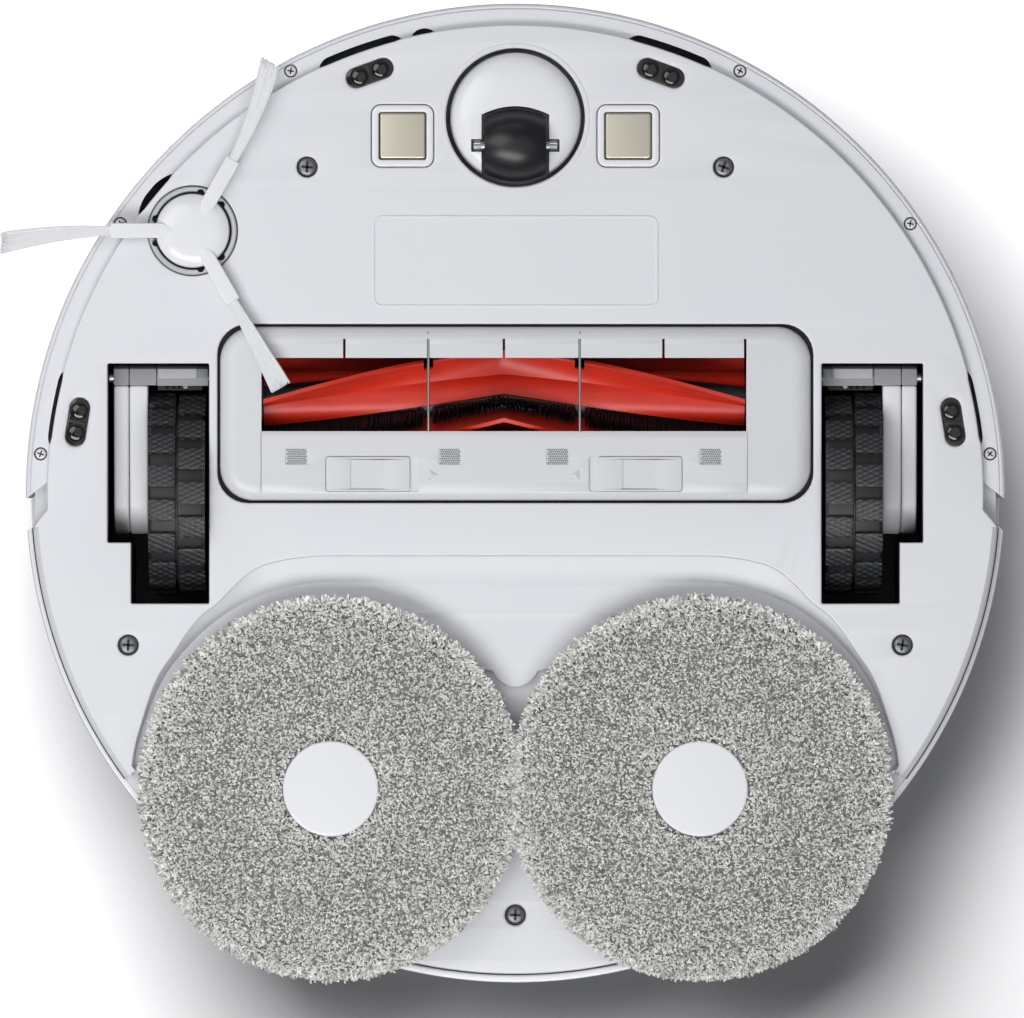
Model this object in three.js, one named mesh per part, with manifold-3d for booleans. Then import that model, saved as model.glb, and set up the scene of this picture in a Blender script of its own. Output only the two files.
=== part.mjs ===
// A round robot vacuum and mop, built as an assembly of separate pieces.
// Units are millimetres. +Z is up, the floor is z = 0, and the origin is on the axis of the round body.
// The machine drives towards -Y. Its own left is +X and its own right is -X.
import * as THREE from "three";
import { mergeVertices } from "three/addons/utils/BufferGeometryUtils.js";
import Module from "manifold-3d";

const wasm = await Module();
wasm.setup();

// ---------------------------------------------------------------- driving dimensions

const gap = 0.3; // between pieces that touch
const far = 400; // longer than anything in the machine, for cutters

const body = {
  radius: 175, // outer wall of the round body
  frontPlateRadius: 167.3, // belly plate where the bumper wraps round it
  rearPlateRadius: 170.8, // belly plate behind the bumper
  bellyZ: 9, // ground clearance under the belly plate
  plate: 2.5, // thickness of the belly plate and the deck
  deckZ: 80, // top of the deck
  wall: 2.5, // thickness of the outer wall
  deckFillet: 9, // rounding where the outer wall turns into the deck
  notchY: 6.6, // the belly plate steps out to its rear radius here
  frontWallRadius: 159.5, // inner wall that the bumper presses towards
  frontWall: 2,
  frontWallZ: 66,
  segments: 64,
};
const plateTop = body.bellyZ + body.plate;
const deckUnder = body.deckZ - body.plate;

const bumperSize = {
  bottomZ: 12,
  topZ: 68,
  wall: 2.7,
  flange: 1.7, // thickness of the flange that runs in under the body
  flangeRadius: 165.5,
  edge: 1.5, // chamfer on its two edges
  endY: 1.8, // the side walls stop here
  flangeEndY: -4.3, // the flange stops sooner, on a slant
  windowHalf: 42,
  windowZ: [28, 56],
};

const wheel = {
  x: 121, // distance of the wheel's middle from the machine's axis
  radius: 36.5,
  width: 20.4,
  lugs: 18,
  lugDepth: 2.2,
  lugShare: 0.64, // share of the pitch that is lug
  rimRadius: 27,
};
const well = { inner: 109.4, step: 137.3, outer: 145.7, front: -46.3, rear: 39.5, stepY: 17.7 };
const wellWall = { side: 1.3, end: 1.5, topZ: 76.2, top: 1.6 };
const arm = {
  pivotY: -41.3,
  pivotZ: 24,
  barrelRadius: 4.6,
  pinRadius: 1.9,
  gearRadius: 14.5,
  inner: 131.9,
  outer: 143.7,
  barrelInner: 110.2,
  springFrom: 117,
  springTo: 127,
  springTurns: 3.5,
  springWire: 0.9,
};

const caster = {
  y: -134.2,
  trail: 10,
  cupRadius: 24.9,
  cupWall: 2,
  cupTopZ: 35,
  domeRadius: 23.4,
  domeLowZ: 6.5,
  domeEdgeZ: 14,
  domeTopZ: 31,
  stemRadius: 5,
  stemTopZ: 46,
  wheelRadius: 12.85,
  wheelEdgeRadius: 10.2,
  wheelWidth: 22,
  axleRadius: 1.95,
  axleHalf: 15.3,
};

const sweeper = {
  x: -115.3,
  y: -93.7,
  hubRadius: 13.2,
  collarInner: 14.2,
  collarOuter: 15.6,
  armReach: 29.2,
  armWidth: 5.3,
  armZ: [3.8, 7.3],
  tuftReach: 64,
  arms: 3,
  tubeRadius: 12.6, // clears the gearmotor
  tubeWall: 1.3,
  tubeTopZ: 52,
};

const bay = { halfX: 106.5, front: -60.4, rear: 3.6, corner: 11 }; // main brush bay in the belly plate
const roller = {
  y: -33.3,
  z: 27,
  radius: 20,
  drumRadius: 10.5,
  from: -90,
  to: 82,
  fins: 3,
  finThickness: 2.2,
  twist: 1.22, // radians that a fin turns from an end to the middle
  grooveRadius: 16,
  grooveWidth: 3.6,
};
const cover = {
  inset: 0.9,
  corner: 10.2,
  bottomZ: 7.8,
  plate: 1.6,
  skirtZ: 13,
  skirt: 1.6,
  mouth: { x0: -90.7, x1: 82.5, y0: -48.3, y1: -22.1 },
  guardX: [-31.1, 23],
  guardRadius: 0.6,
};
const latch = {
  slotLength: 33.6,
  slotWidth: 12.8,
  length: 29.9,
  middleY: -6.8,
  slotStart: { right: -67.9, left: 59.8 }, // the end of the slot that the latch rests against
  recessLength: 12.5,
  recessDepth: 1.3,
  thickness: 2.6,
};

const mop = {
  segments: 40,
  x: 65.9,
  y: 105.5,
  padRadius: 65.5,
  padThickness: 5.5,
  discRadius: 17.2,
  plateRadius: 58,
  plateZ: [5.8, 7.8],
  lift: 6,
  bayRadius: 76,
  bayZ: 15.5, // ceiling of the mop bay
  bayWall: 2,
  sleeveRadius: 11,
  sleeveBore: 6.4,
  sleeveZ: [12, 25],
  shaftRadius: 6,
};

const cliffSensor = { length: 17.5, width: 7.2, z: [9.2, 19] };
const cliffSensors = { front: [52, -150.1], side: [156.4, -25.4] };
const contact = { x: 40.3, y: -127.6, side: 16.2, corner: 1.5, z: [8.6, 12.2] };

const lidSize = { halfX: 84, front: -62, rear: 52, corner: 14, floorZ: 76.8, underZ: 74.5 };
const binSize = { halfX: 71, front: 8.2, rear: 47.8, z: [19, 73], wall: 2 };
const duct = { x: [-34, 26], z: [29, 46], wall: 1.6, y: [-12.5, 7.9] };
const turret = {
  y: 95,
  radius: 40,
  baseZ: [80.3, 83],
  capZ: [92, 97],
  rotorRadius: 28,
  postRadius: 37,
  post: 3,
  spindleRadius: 4,
};
const button = { x: 14, y: -100, radius: 7, z: [76.6, 80.6] };
const exhaust = { halfX: 42, z: [48, 66], slats: 7 };

// ---------------------------------------------------------------- solids from three.js shapes

// A closed three.js geometry as a manifold-3d solid.
function solidOf(geometry) {
  const bare = geometry.index ? geometry.toNonIndexed() : geometry.clone();
  bare.deleteAttribute("normal");
  bare.deleteAttribute("uv");
  const merged = mergeVertices(bare, 1e-4);
  const corners = [];
  const index = merged.index.array;
  for (let i = 0; i < index.length; i += 3) {
    const [a, b, c] = [index[i], index[i + 1], index[i + 2]];
    if (a !== b && b !== c && c !== a) corners.push(a, b, c);
  }
  const mesh = new wasm.Mesh({
    numProp: 3,
    vertProperties: merged.attributes.position.array,
    triVerts: new Uint32Array(corners),
  });
  return new wasm.Manifold(mesh);
}

function geometryOf(solid) {
  const mesh = solid.getMesh();
  const geometry = new THREE.BufferGeometry();
  geometry.setAttribute("position", new THREE.BufferAttribute(mesh.vertProperties, 3));
  geometry.setIndex(new THREE.BufferAttribute(mesh.triVerts, 1));
  geometry.computeVertexNormals();
  return geometry;
}

const join = (...solids) => solids.reduce((a, b) => a.add(b));
const cut = (solid, ...cutters) => cutters.reduce((a, b) => a.subtract(b), solid);

function block(x0, x1, y0, y1, z0, z1) {
  const geometry = new THREE.BoxGeometry(Math.abs(x1 - x0), Math.abs(y1 - y0), Math.abs(z1 - z0));
  return solidOf(geometry.translate((x0 + x1) / 2, (y0 + y1) / 2, (z0 + z1) / 2));
}

// A block given for the +X side, mirrored to the side asked for (1 or -1).
function sideBlock(side, x0, x1, y0, y1, z0, z1) {
  return block(Math.min(side * x0, side * x1), Math.max(side * x0, side * x1), y0, y1, z0, z1);
}

function drum(radius, z0, z1, x = 0, y = 0, segments = 32) {
  const geometry = new THREE.CylinderGeometry(radius, radius, z1 - z0, segments).rotateX(Math.PI / 2);
  return solidOf(geometry.translate(x, y, (z0 + z1) / 2));
}

// A cylinder lying along X.
function rod(radius, x0, x1, y, z, segments = 20) {
  const geometry = new THREE.CylinderGeometry(radius, radius, Math.abs(x1 - x0), segments).rotateZ(Math.PI / 2);
  return solidOf(geometry.translate((x0 + x1) / 2, y, z));
}

// A profile of [radius, z] points turned about the Z axis. It may be listed either way round.
function turned(profile, segments = 32) {
  let area = 0;
  profile.forEach(([r, z], i) => {
    const [nextR, nextZ] = profile[(i + 1) % profile.length];
    area += r * nextZ - nextR * z;
  });
  const outwards = area > 0 ? profile : [...profile].reverse();
  const points = outwards.map(([r, z]) => new THREE.Vector2(r, z));
  const onAxis = outwards[0][0] === 0 && outwards[outwards.length - 1][0] === 0;
  if (!onAxis) points.push(points[0].clone());
  return solidOf(new THREE.LatheGeometry(points, segments).rotateX(Math.PI / 2));
}

function prism(shape, z0, z1, curveSegments = 8) {
  const geometry = new THREE.ExtrudeGeometry(shape, { depth: z1 - z0, bevelEnabled: false, curveSegments });
  return solidOf(geometry.translate(0, 0, z0));
}

function roundedRect(x0, x1, y0, y1, r) {
  const shape = new THREE.Shape();
  shape.absarc(x1 - r, y1 - r, r, 0, Math.PI / 2);
  shape.absarc(x0 + r, y1 - r, r, Math.PI / 2, Math.PI);
  shape.absarc(x0 + r, y0 + r, r, Math.PI, 1.5 * Math.PI);
  shape.absarc(x1 - r, y0 + r, r, 1.5 * Math.PI, 2 * Math.PI);
  return shape;
}

// A slot with round ends, its long side along the circle about the machine's axis.
function tangentCapsule([x, y], length, width, z0, z1) {
  const reach = (length - width) / 2;
  const shape = new THREE.Shape();
  shape.absarc(reach, 0, width / 2, -Math.PI / 2, Math.PI / 2);
  shape.absarc(-reach, 0, width / 2, Math.PI / 2, 1.5 * Math.PI);
  const geometry = new THREE.ExtrudeGeometry(shape, { depth: z1 - z0, bevelEnabled: false, curveSegments: 3 });
  geometry.rotateZ(Math.atan2(x, -y));
  return solidOf(geometry.translate(x, y, z0));
}

// Points of an arc, as [radius, z] pairs for a turned profile.
function arcPoints(centreR, centreZ, radius, from, to, steps) {
  return Array.from({ length: steps + 1 }, (_, i) => {
    const angle = from + ((to - from) * i) / steps;
    return [centreR + radius * Math.cos(angle), centreZ + radius * Math.sin(angle)];
  });
}

const ring = (inner, outer, z0, z1, segments) =>
  turned([[inner, z0], [outer, z0], [outer, z1], [inner, z1]], segments);
const rearHalf = (fromY, z0, z1) => block(-far, far, fromY, far, z0, z1);

// ---------------------------------------------------------------- finishes

const finish = (color, roughness, metalness = 0) =>
  new THREE.MeshStandardMaterial({ color, roughness, metalness });
const whiteAbs = finish(0xe9ebef, 0.35);
const greyAbs = finish(0xb9bbc0, 0.45);
const darkAbs = finish(0x17181b, 0.5);
const blackRubber = finish(0x1c1c1e, 0.8);
const redTpu = finish(0xd63a2a, 0.4);
const moppingCloth = finish(0xb9b7ae, 0.95);
const nickel = finish(0xc3c0b2, 0.3, 1);
const steel = finish(0x8c8e92, 0.35, 1);
const smokedLens = finish(0x08090b, 0.08);
const nylonBristle = finish(0xf1f1ee, 0.5);
const circuitGreen = finish(0x1f5b3a, 0.6);
const batteryWrap = finish(0x2b4f9e, 0.5);
const clearTank = finish(0x9fb4c4, 0.15);
const filterPaper = finish(0xf2efe2, 0.9);

const machine = new THREE.Group();

function piece(name, solid, material, parent = machine) {
  const mesh = new THREE.Mesh(geometryOf(solid), material);
  mesh.name = name;
  parent.add(mesh);
  return mesh;
}

// ---------------------------------------------------------------- belly plate and casing

function plateOutline() {
  const front = Math.asin(body.notchY / body.frontPlateRadius);
  const rearY = body.notchY + (body.rearPlateRadius - body.frontPlateRadius);
  const rear = Math.asin(rearY / body.rearPlateRadius);
  const shape = new THREE.Shape();
  shape.absarc(0, 0, body.frontPlateRadius, front, -Math.PI - front, true);
  shape.absarc(0, 0, body.rearPlateRadius, Math.PI - rear, rear, true);
  return shape;
}

// The footprint of the mop bay, open to the rear: a circle round each pad and the space between them.
function mopFootprint(grow, z0, z1) {
  const circles = [-1, 1].map((side) => drum(mop.bayRadius + grow, z0, z1, side * mop.x, mop.y, mop.segments));
  const between = block(-mop.x, mop.x, mop.y - mop.bayRadius - grow, far, z0, z1);
  return join(...circles, between);
}

function mopBay() {
  const ceilingTop = mop.bayZ + mop.bayWall;
  const within = drum(body.rearPlateRadius, body.bellyZ, ceilingTop, 0, 0, body.segments);
  const ceiling = mopFootprint(0, mop.bayZ, ceilingTop).intersect(within);
  const wall = mopFootprint(mop.bayWall, body.bellyZ, ceilingTop)
    .subtract(mopFootprint(0, 0, mop.bayZ))
    .intersect(within);
  const rim = ring(body.rearPlateRadius - mop.bayWall, body.rearPlateRadius, body.bellyZ, ceilingTop, body.segments)
    .intersect(rearHalf(body.notchY + body.wall, 0, far))
    .subtract(mopFootprint(0, 0, mop.bayZ));
  return join(ceiling, wall, rim);
}

function frontWall() {
  const { frontWallRadius: outer, frontWall: thickness, frontWallZ: top, notchY } = body;
  const wall = cut(
    ring(outer - thickness, outer, body.bellyZ, top, body.segments),
    rearHalf(notchY - thickness, 0, far),
  );
  const ends = [-1, 1].map((side) =>
    sideBlock(side, outer - 2 * thickness, body.frontPlateRadius - 1, notchY - thickness, notchY, body.bellyZ, top),
  );
  return join(wall, ...ends);
}

function casterCup() {
  const { cupRadius: r, cupWall: t, cupTopZ: top, stemRadius } = caster;
  const bore = stemRadius + gap;
  const profile = [
    [r, body.bellyZ],
    [r + t, body.bellyZ],
    [r + t, top],
    [bore + t, top],
    [bore + t, caster.stemTopZ + 1],
    [bore, caster.stemTopZ + 1],
    [bore, top - t],
    [r, top - t],
  ];
  return turned(profile, 32).translate([0, caster.y, 0]);
}

// A bulge in the front wall, round the side brush's gearmotor.
function sideBrushTube() {
  const { tubeRadius, tubeWall, tubeTopZ, x, y } = sweeper;
  return drum(tubeRadius + tubeWall, plateTop - 1, tubeTopZ + tubeWall, x, y, 20);
}

function wellOutline(side, grow) {
  const shape = new THREE.Shape();
  const corner = (x, y) => [side * x, y];
  shape.moveTo(...corner(well.inner - grow, well.front - grow));
  shape.lineTo(...corner(well.outer + grow, well.front - grow));
  shape.lineTo(...corner(well.outer + grow, well.stepY + grow));
  shape.lineTo(...corner(well.step + grow, well.stepY + grow));
  shape.lineTo(...corner(well.step + grow, well.rear + grow));
  shape.lineTo(...corner(well.inner - grow, well.rear + grow));
  shape.closePath();
  return shape;
}

const bayOutline = (inset) =>
  roundedRect(-bay.halfX + inset, bay.halfX - inset, bay.front + inset, bay.rear - inset, bay.corner - inset);
const sensorPlaces = [-1, 1].flatMap((side) => [
  { name: side < 0 ? "front_right" : "front_left", at: [side * cliffSensors.front[0], cliffSensors.front[1]] },
  { name: side < 0 ? "side_right" : "side_left", at: [side * cliffSensors.side[0], cliffSensors.side[1]] },
]);

function chassisBase() {
  const plate = cut(
    prism(plateOutline(), body.bellyZ, plateTop, 18),
    mopFootprint(0, 0, mop.bayZ),
    drum(caster.cupRadius + 1, 0, far, 0, caster.y, 32),
  );
  const front = cut(
    join(frontWall(), sideBrushTube()),
    drum(caster.cupRadius + 1, 0, caster.cupTopZ - 1, 0, caster.y, 32),
    drum(sweeper.tubeRadius, 0, sweeper.tubeTopZ, sweeper.x, sweeper.y, 20),
  );
  const whole = join(plate, mopBay(), front, casterCup());
  const openings = [
    prism(bayOutline(0), 0, plateTop + 1, 2),
    drum(sweeper.collarOuter + gap, 0, plateTop + gap, sweeper.x, sweeper.y, 24),
    ...[-1, 1].map((side) => prism(wellOutline(side, 0), 0, plateTop + 1)),
    ...[-1, 1].map((side) => contactBlock(side, gap, 0, plateTop + 1)),
    ...[-1, 1].map((side) => sideBlock(side, well.inner - wellWall.side - gap, well.step + wellWall.side + gap,
      well.rear - 3, well.rear + wellWall.end + gap, plateTop, far)),
    ...[-1, 1].map((side) => drum(mop.sleeveRadius + 1, 0, far, side * mop.x, mop.y, 20)),
    ...sensorPlaces.map(({ at }) =>
      tangentCapsule(at, cliffSensor.length + 2 * gap, cliffSensor.width + 2 * gap, 0, cliffSensor.z[1] + gap),
    ),
  ];
  return cut(whole, ...openings);
}

function topShell() {
  const inner = body.radius - body.wall;
  const turn = body.radius - body.deckFillet;
  const skirtZ = mop.bayZ - 1.3;
  const profile = [
    [0, body.deckZ],
    ...arcPoints(turn, body.deckZ - body.deckFillet, body.deckFillet, Math.PI / 2, 0, 3),
    [body.radius, skirtZ],
    [inner, skirtZ],
    ...arcPoints(turn, body.deckZ - body.deckFillet, body.deckFillet - body.wall, 0, Math.PI / 2, 1),
    [0, deckUnder],
  ];
  const casing = turned(profile, body.segments);
  const bumperSpace = block(-far, far, -far, body.notchY + body.wall - 1, 0, bumperSize.topZ + 1);
  const ends = [-1, 1].map((side) =>
    sideBlock(side, body.frontWallRadius, inner + 0.5, 8.1, 10.1, mop.bayZ + mop.bayWall + gap, deckUnder + 0.5),
  );
  const round = drum(body.radius - 0.5, 0, body.deckZ - 0.5, 0, 0, body.segments);
  const under = prism(lidOutline(2.5), lidSize.underZ, deckUnder + 0.5, 3);
  const shell = join(cut(casing, bumperSpace), ...ends.map((end) => end.intersect(round)), under);
  return cut(
    shell,
    prism(lidOutline(0), lidSize.floorZ, far, 3),
    block(-binSize.halfX - 1, binSize.halfX + 1, binSize.front - 1, binSize.rear + 1, 0, far),
    ...[-1, 1].map((side) => drum(button.radius + gap, 0, far, side * button.x, button.y, 24)),
    drum(turret.spindleRadius + 2, 0, far, 0, turret.y, 20),
    block(-exhaust.halfX, exhaust.halfX, 100, far, ...exhaust.z),
  );
}

function lidOutline(grow) {
  const { halfX, front, rear, corner } = lidSize;
  return roundedRect(-halfX - grow, halfX + grow, front - grow, rear + grow, corner + grow);
}

function lidPanel() {
  return prism(lidOutline(-0.4), lidSize.floorZ + 0.6, body.deckZ - 0.1, 3);
}

function exhaustGrille() {
  const clear = 0.4;
  const [low, high] = exhaust.z;
  const band = ring(body.radius - body.wall + 0.2, body.radius - 0.2, low + clear, high - clear, body.segments);
  const half = exhaust.halfX - clear;
  const plate = band.intersect(block(-half, half, 100, far, 0, far));
  const pitch = (2 * half - 4) / exhaust.slats;
  const slots = Array.from({ length: exhaust.slats }, (_, i) => {
    const x = -half + 2 + pitch * (i + 0.5);
    return block(x - pitch * 0.32, x + pitch * 0.32, 100, far, low + 3, high - 3);
  });
  return cut(plate, ...slots);
}

// ---------------------------------------------------------------- bumper

function bumperShell() {
  const { bottomZ, topZ, wall, flange, flangeRadius, edge, endY, flangeEndY } = bumperSize;
  const inner = body.radius - wall;
  const profile = [
    [flangeRadius, bottomZ],
    [body.radius - edge, bottomZ],
    [body.radius, bottomZ + edge],
    [body.radius, topZ - edge],
    [body.radius - edge, topZ],
    [inner, topZ],
    [inner, bottomZ + flange],
    [flangeRadius, bottomZ + flange],
  ];
  const slant = new THREE.Shape();
  slant.moveTo(0, flangeEndY);
  slant.lineTo(flangeRadius, flangeEndY);
  slant.lineTo(inner, endY);
  slant.lineTo(far, endY);
  slant.lineTo(far, far);
  slant.lineTo(0, far);
  slant.closePath();
  const behind = prism(slant, 0, far);
  const window = block(-bumperSize.windowHalf, bumperSize.windowHalf, -far, 0, ...bumperSize.windowZ);
  return cut(turned(profile, body.segments), behind, behind.mirror([1, 0, 0]), window);
}

function sensorWindow() {
  const half = bumperSize.windowHalf - gap;
  const [low, high] = bumperSize.windowZ;
  const band = ring(body.radius - bumperSize.wall + 0.2, body.radius - 0.2, low + gap, high - gap, body.segments);
  return band.intersect(block(-half, half, -far, 0, 0, far));
}

// ---------------------------------------------------------------- drive wheels on their sprung arms

function wheelHousing(side) {
  const inside = prism(wellOutline(side, 0), 0, wellWall.topZ - wellWall.top);
  const outside = new THREE.Shape();
  const corner = (x, y) => [side * x, y];
  outside.moveTo(...corner(well.inner - wellWall.side, well.front - wellWall.end));
  outside.lineTo(...corner(well.outer + wellWall.side, well.front - wellWall.end));
  outside.lineTo(...corner(well.outer + wellWall.side, well.stepY + wellWall.end));
  outside.lineTo(...corner(well.step + wellWall.side, well.stepY + wellWall.end));
  outside.lineTo(...corner(well.step + wellWall.side, well.rear + wellWall.end));
  outside.lineTo(...corner(well.inner - wellWall.side, well.rear + wellWall.end));
  outside.closePath();
  return cut(prism(outside, plateTop + gap, wellWall.topZ), inside);
}

function armHousing(side) {
  const { pivotY, pivotZ, barrelRadius, pinRadius, gearRadius, inner, outer } = arm;
  const gearCase = rod(gearRadius, side * inner, side * outer, 0, wheel.radius, 24);
  const barrelOuter = rod(barrelRadius, side * arm.springTo, side * (outer + 0.9), pivotY, pivotZ);
  const barrelInner = rod(barrelRadius, side * arm.barrelInner, side * arm.springFrom, pivotY, pivotZ);
  // The web is a slab from the pivot to the gear case, as tall as each of them where it meets it.
  const web = new THREE.Shape();
  web.moveTo(pivotY, pivotZ - barrelRadius);
  web.lineTo(0, wheel.radius - gearRadius);
  web.lineTo(0, wheel.radius + gearRadius);
  web.lineTo(pivotY, pivotZ + barrelRadius);
  web.closePath();
  const slab = new THREE.ExtrudeGeometry(web, { depth: outer - inner, bevelEnabled: false });
  slab.rotateY(Math.PI / 2).rotateX(Math.PI / 2);
  slab.translate(side > 0 ? inner : -outer, 0, 0);
  // A flat bar behind the spring keeps the two barrels in one piece.
  const bar = sideBlock(side, arm.springFrom - 1, arm.springTo + 1, pivotY - 1.5, pivotY + 1.5,
    pivotZ + barrelRadius - gap, pivotZ + barrelRadius + 1.8);
  const whole = join(gearCase, barrelOuter, barrelInner, solidOf(slab), bar);
  return cut(
    whole,
    rod(pinRadius + gap, side * 100, side * 160, pivotY, pivotZ, 16),
    rod(3 + gap, side * 100, side * 138, 0, wheel.radius, 16),
  );
}

function pivotPin(side) {
  return rod(arm.pinRadius, side * (well.inner + gap), side * (well.outer - gap), arm.pivotY, arm.pivotZ, 14);
}

function torsionSpring(side) {
  const { springFrom, springTo, springTurns, springWire, pivotY, pivotZ, pinRadius } = arm;
  const coilRadius = pinRadius + gap + springWire;
  const from = springFrom + springWire + gap;
  const to = springTo - springWire - gap;
  class Coil extends THREE.Curve {
    getPoint(t) {
      const angle = 2 * Math.PI * springTurns * t;
      const x = from + (to - from) * t;
      return new THREE.Vector3(x, coilRadius * Math.cos(angle), coilRadius * Math.sin(angle));
    }
  }
  const wire = new THREE.Shape();
  wire.absarc(0, 0, springWire, 0, 2 * Math.PI);
  const geometry = new THREE.ExtrudeGeometry(wire, {
    extrudePath: new Coil(),
    steps: 8 * springTurns,
    curveSegments: 3,
    bevelEnabled: false,
  });
  const coil = solidOf(geometry);
  return (side > 0 ? coil : coil.mirror([1, 0, 0])).translate([0, pivotY, pivotZ]);
}

// One row of tread: a ring with lugs, standing on the XY plane.
function treadRow(turn, width) {
  const pitch = (2 * Math.PI) / wheel.lugs;
  const shape = new THREE.Shape();
  const at = (radius, angle) => [radius * Math.cos(angle), radius * Math.sin(angle)];
  for (let i = 0; i < wheel.lugs; i++) {
    const middle = turn + pitch * i;
    const half = (pitch * wheel.lugShare) / 2;
    const base = wheel.radius - wheel.lugDepth;
    const corners = [at(base, middle - half), at(wheel.radius, middle - half),
      at(wheel.radius, middle + half), at(base, middle + half)];
    corners.forEach((point, k) => (i + k ? shape.lineTo(...point) : shape.moveTo(...point)));
  }
  shape.closePath();
  const bore = new THREE.Path();
  bore.absarc(0, 0, wheel.rimRadius + gap, 0, 2 * Math.PI);
  shape.holes.push(bore);
  return prism(shape, 0, width, 10);
}

function tyre(side) {
  const down = -Math.PI / 2;
  const rowWidth = wheel.width / 2;
  const pitch = (2 * Math.PI) / wheel.lugs;
  const rows = join(
    treadRow(down, rowWidth + 0.01),
    treadRow(down + pitch / 2, rowWidth).translate([0, 0, rowWidth]),
  );
  // Stand the axle along X with the row that has a lug straight down on the inner side.
  const lying = rows.rotate([90, 0, 90]);
  const placed = side > 0 ? lying : lying.mirror([1, 0, 0]);
  return placed.translate([side * (wheel.x - rowWidth), 0, wheel.radius]);
}

function wheelHub(side) {
  const half = wheel.width / 2;
  const inner = wheel.x - half + 0.4;
  const outer = wheel.x + half - 0.4;
  const dish = rod(wheel.rimRadius - 4, side * (inner - 5), side * (inner + 4), 0, wheel.radius, 20);
  const shaft = rod(3, side * (outer - 1), side * (outer + 5.5), 0, wheel.radius, 16);
  return join(cut(rod(wheel.rimRadius, side * inner, side * outer, 0, wheel.radius, 20), dish), shaft);
}

// ---------------------------------------------------------------- swivelling front caster

const casterWheelY = caster.y + caster.trail;

function casterFork() {
  const { domeRadius, domeEdgeZ, domeLowZ, domeTopZ, stemRadius, stemTopZ } = caster;
  const steps = 4;
  const bulge = Array.from({ length: steps + 1 }, (_, i) => {
    const share = i / steps;
    return [domeRadius * share, domeLowZ + (domeEdgeZ - domeLowZ) * share ** 2.4];
  });
  const profile = [...bulge, [domeRadius, domeTopZ], [stemRadius, domeTopZ], [stemRadius, stemTopZ], [0, stemTopZ]];
  const dome = turned(profile, 32).translate([0, caster.y, 0]);
  const half = caster.wheelWidth / 2 + 0.8;
  const front = casterWheelY - caster.wheelRadius - 1.2;
  const slot = block(-half, half, front, far, 0, 2 * caster.wheelRadius + 1.5);
  const grooveHalf = caster.axleRadius + gap;
  const groove = block(-caster.axleHalf - gap, caster.axleHalf + gap, casterWheelY - grooveHalf,
    casterWheelY + grooveHalf, 0, caster.wheelRadius + grooveHalf);
  return cut(dome, slot, groove);
}

function casterWheel() {
  const { wheelRadius: r, wheelEdgeRadius: edge, wheelWidth: width, axleRadius } = caster;
  const steps = 4;
  const crown = Array.from({ length: steps + 1 }, (_, i) => {
    const along = (2 * i) / steps - 1;
    return [edge + (r - edge) * (1 - along ** 2), (along * width) / 2];
  });
  const bore = axleRadius + gap;
  const barrel = turned([...crown, [bore, width / 2], [bore, -width / 2]], 24);
  return barrel.rotate([0, 90, 0]).translate([0, casterWheelY, caster.wheelRadius]);
}

// ---------------------------------------------------------------- side brush

const armAngle = (i) => Math.PI + (2 * Math.PI * i) / sweeper.arms;

function sideBrushHub() {
  const [low, high] = sweeper.armZ;
  const profile = [[0, low - 0.2], [6, low], [11, low + 1], [sweeper.hubRadius, low + 2.6],
    [sweeper.hubRadius, high + 2.4], [4, high + 2.4], [4, 15.6], [0, 15.6]];
  const hub = turned(profile, 24);
  const arms = Array.from({ length: sweeper.arms }, (_, i) => {
    const half = sweeper.armWidth / 2;
    return block(5, sweeper.armReach, -half, half, low, high).rotate([0, 0, (armAngle(i) * 180) / Math.PI]);
  });
  return join(hub, ...arms).translate([sweeper.x, sweeper.y, 0]);
}

// A tuft of bristle as a plain wedge that widens and falls to the floor as it goes out.
function bristleTuft(i) {
  const { armReach, tuftReach } = sweeper;
  const root = { x: armReach + gap, half: 1.6, low: 4.4, high: 6.4 };
  const tip = { x: tuftReach, half: 3.2, low: 0.5, high: 2.3 };
  const geometry = new THREE.BoxGeometry(1, 1, 1);
  const position = geometry.attributes.position;
  for (let k = 0; k < position.count; k++) {
    const end = position.getX(k) < 0 ? root : tip;
    const z = position.getZ(k) < 0 ? end.low : end.high;
    position.setXYZ(k, end.x, 2 * end.half * position.getY(k), z);
  }
  return solidOf(geometry.rotateZ(armAngle(i)).translate(sweeper.x, sweeper.y, 0));
}

// ---------------------------------------------------------------- main brush, its housing and its cover

const rollerMiddle = (roller.from + roller.to) / 2;

// How far a fin has turned at x: nothing at the ends, most in the middle, so each fin is a V.
function finTurn(x) {
  const half = (roller.to - roller.from) / 2;
  return -roller.twist * (1 - Math.abs(x - rollerMiddle) / half);
}

function rollerFin(i) {
  const steps = 10;
  const section = new THREE.Shape();
  const half = roller.finThickness / 2;
  section.moveTo(-half, roller.drumRadius - 2);
  section.lineTo(half, roller.drumRadius - 2);
  section.lineTo(half, roller.radius);
  section.lineTo(-half, roller.radius);
  section.closePath();
  const geometry = new THREE.ExtrudeGeometry(section, {
    depth: roller.to - roller.from,
    steps,
    bevelEnabled: false,
  });
  const position = geometry.attributes.position;
  for (let k = 0; k < position.count; k++) {
    const x = roller.from + position.getZ(k);
    const turn = -Math.PI / 2 + finTurn(x) + (2 * Math.PI * i) / roller.fins;
    const [across, out] = [-position.getX(k), position.getY(k)];
    const y = out * Math.cos(turn) - across * Math.sin(turn);
    const z = out * Math.sin(turn) + across * Math.cos(turn);
    position.setXYZ(k, x, y, z);
  }
  return solidOf(geometry);
}

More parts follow.
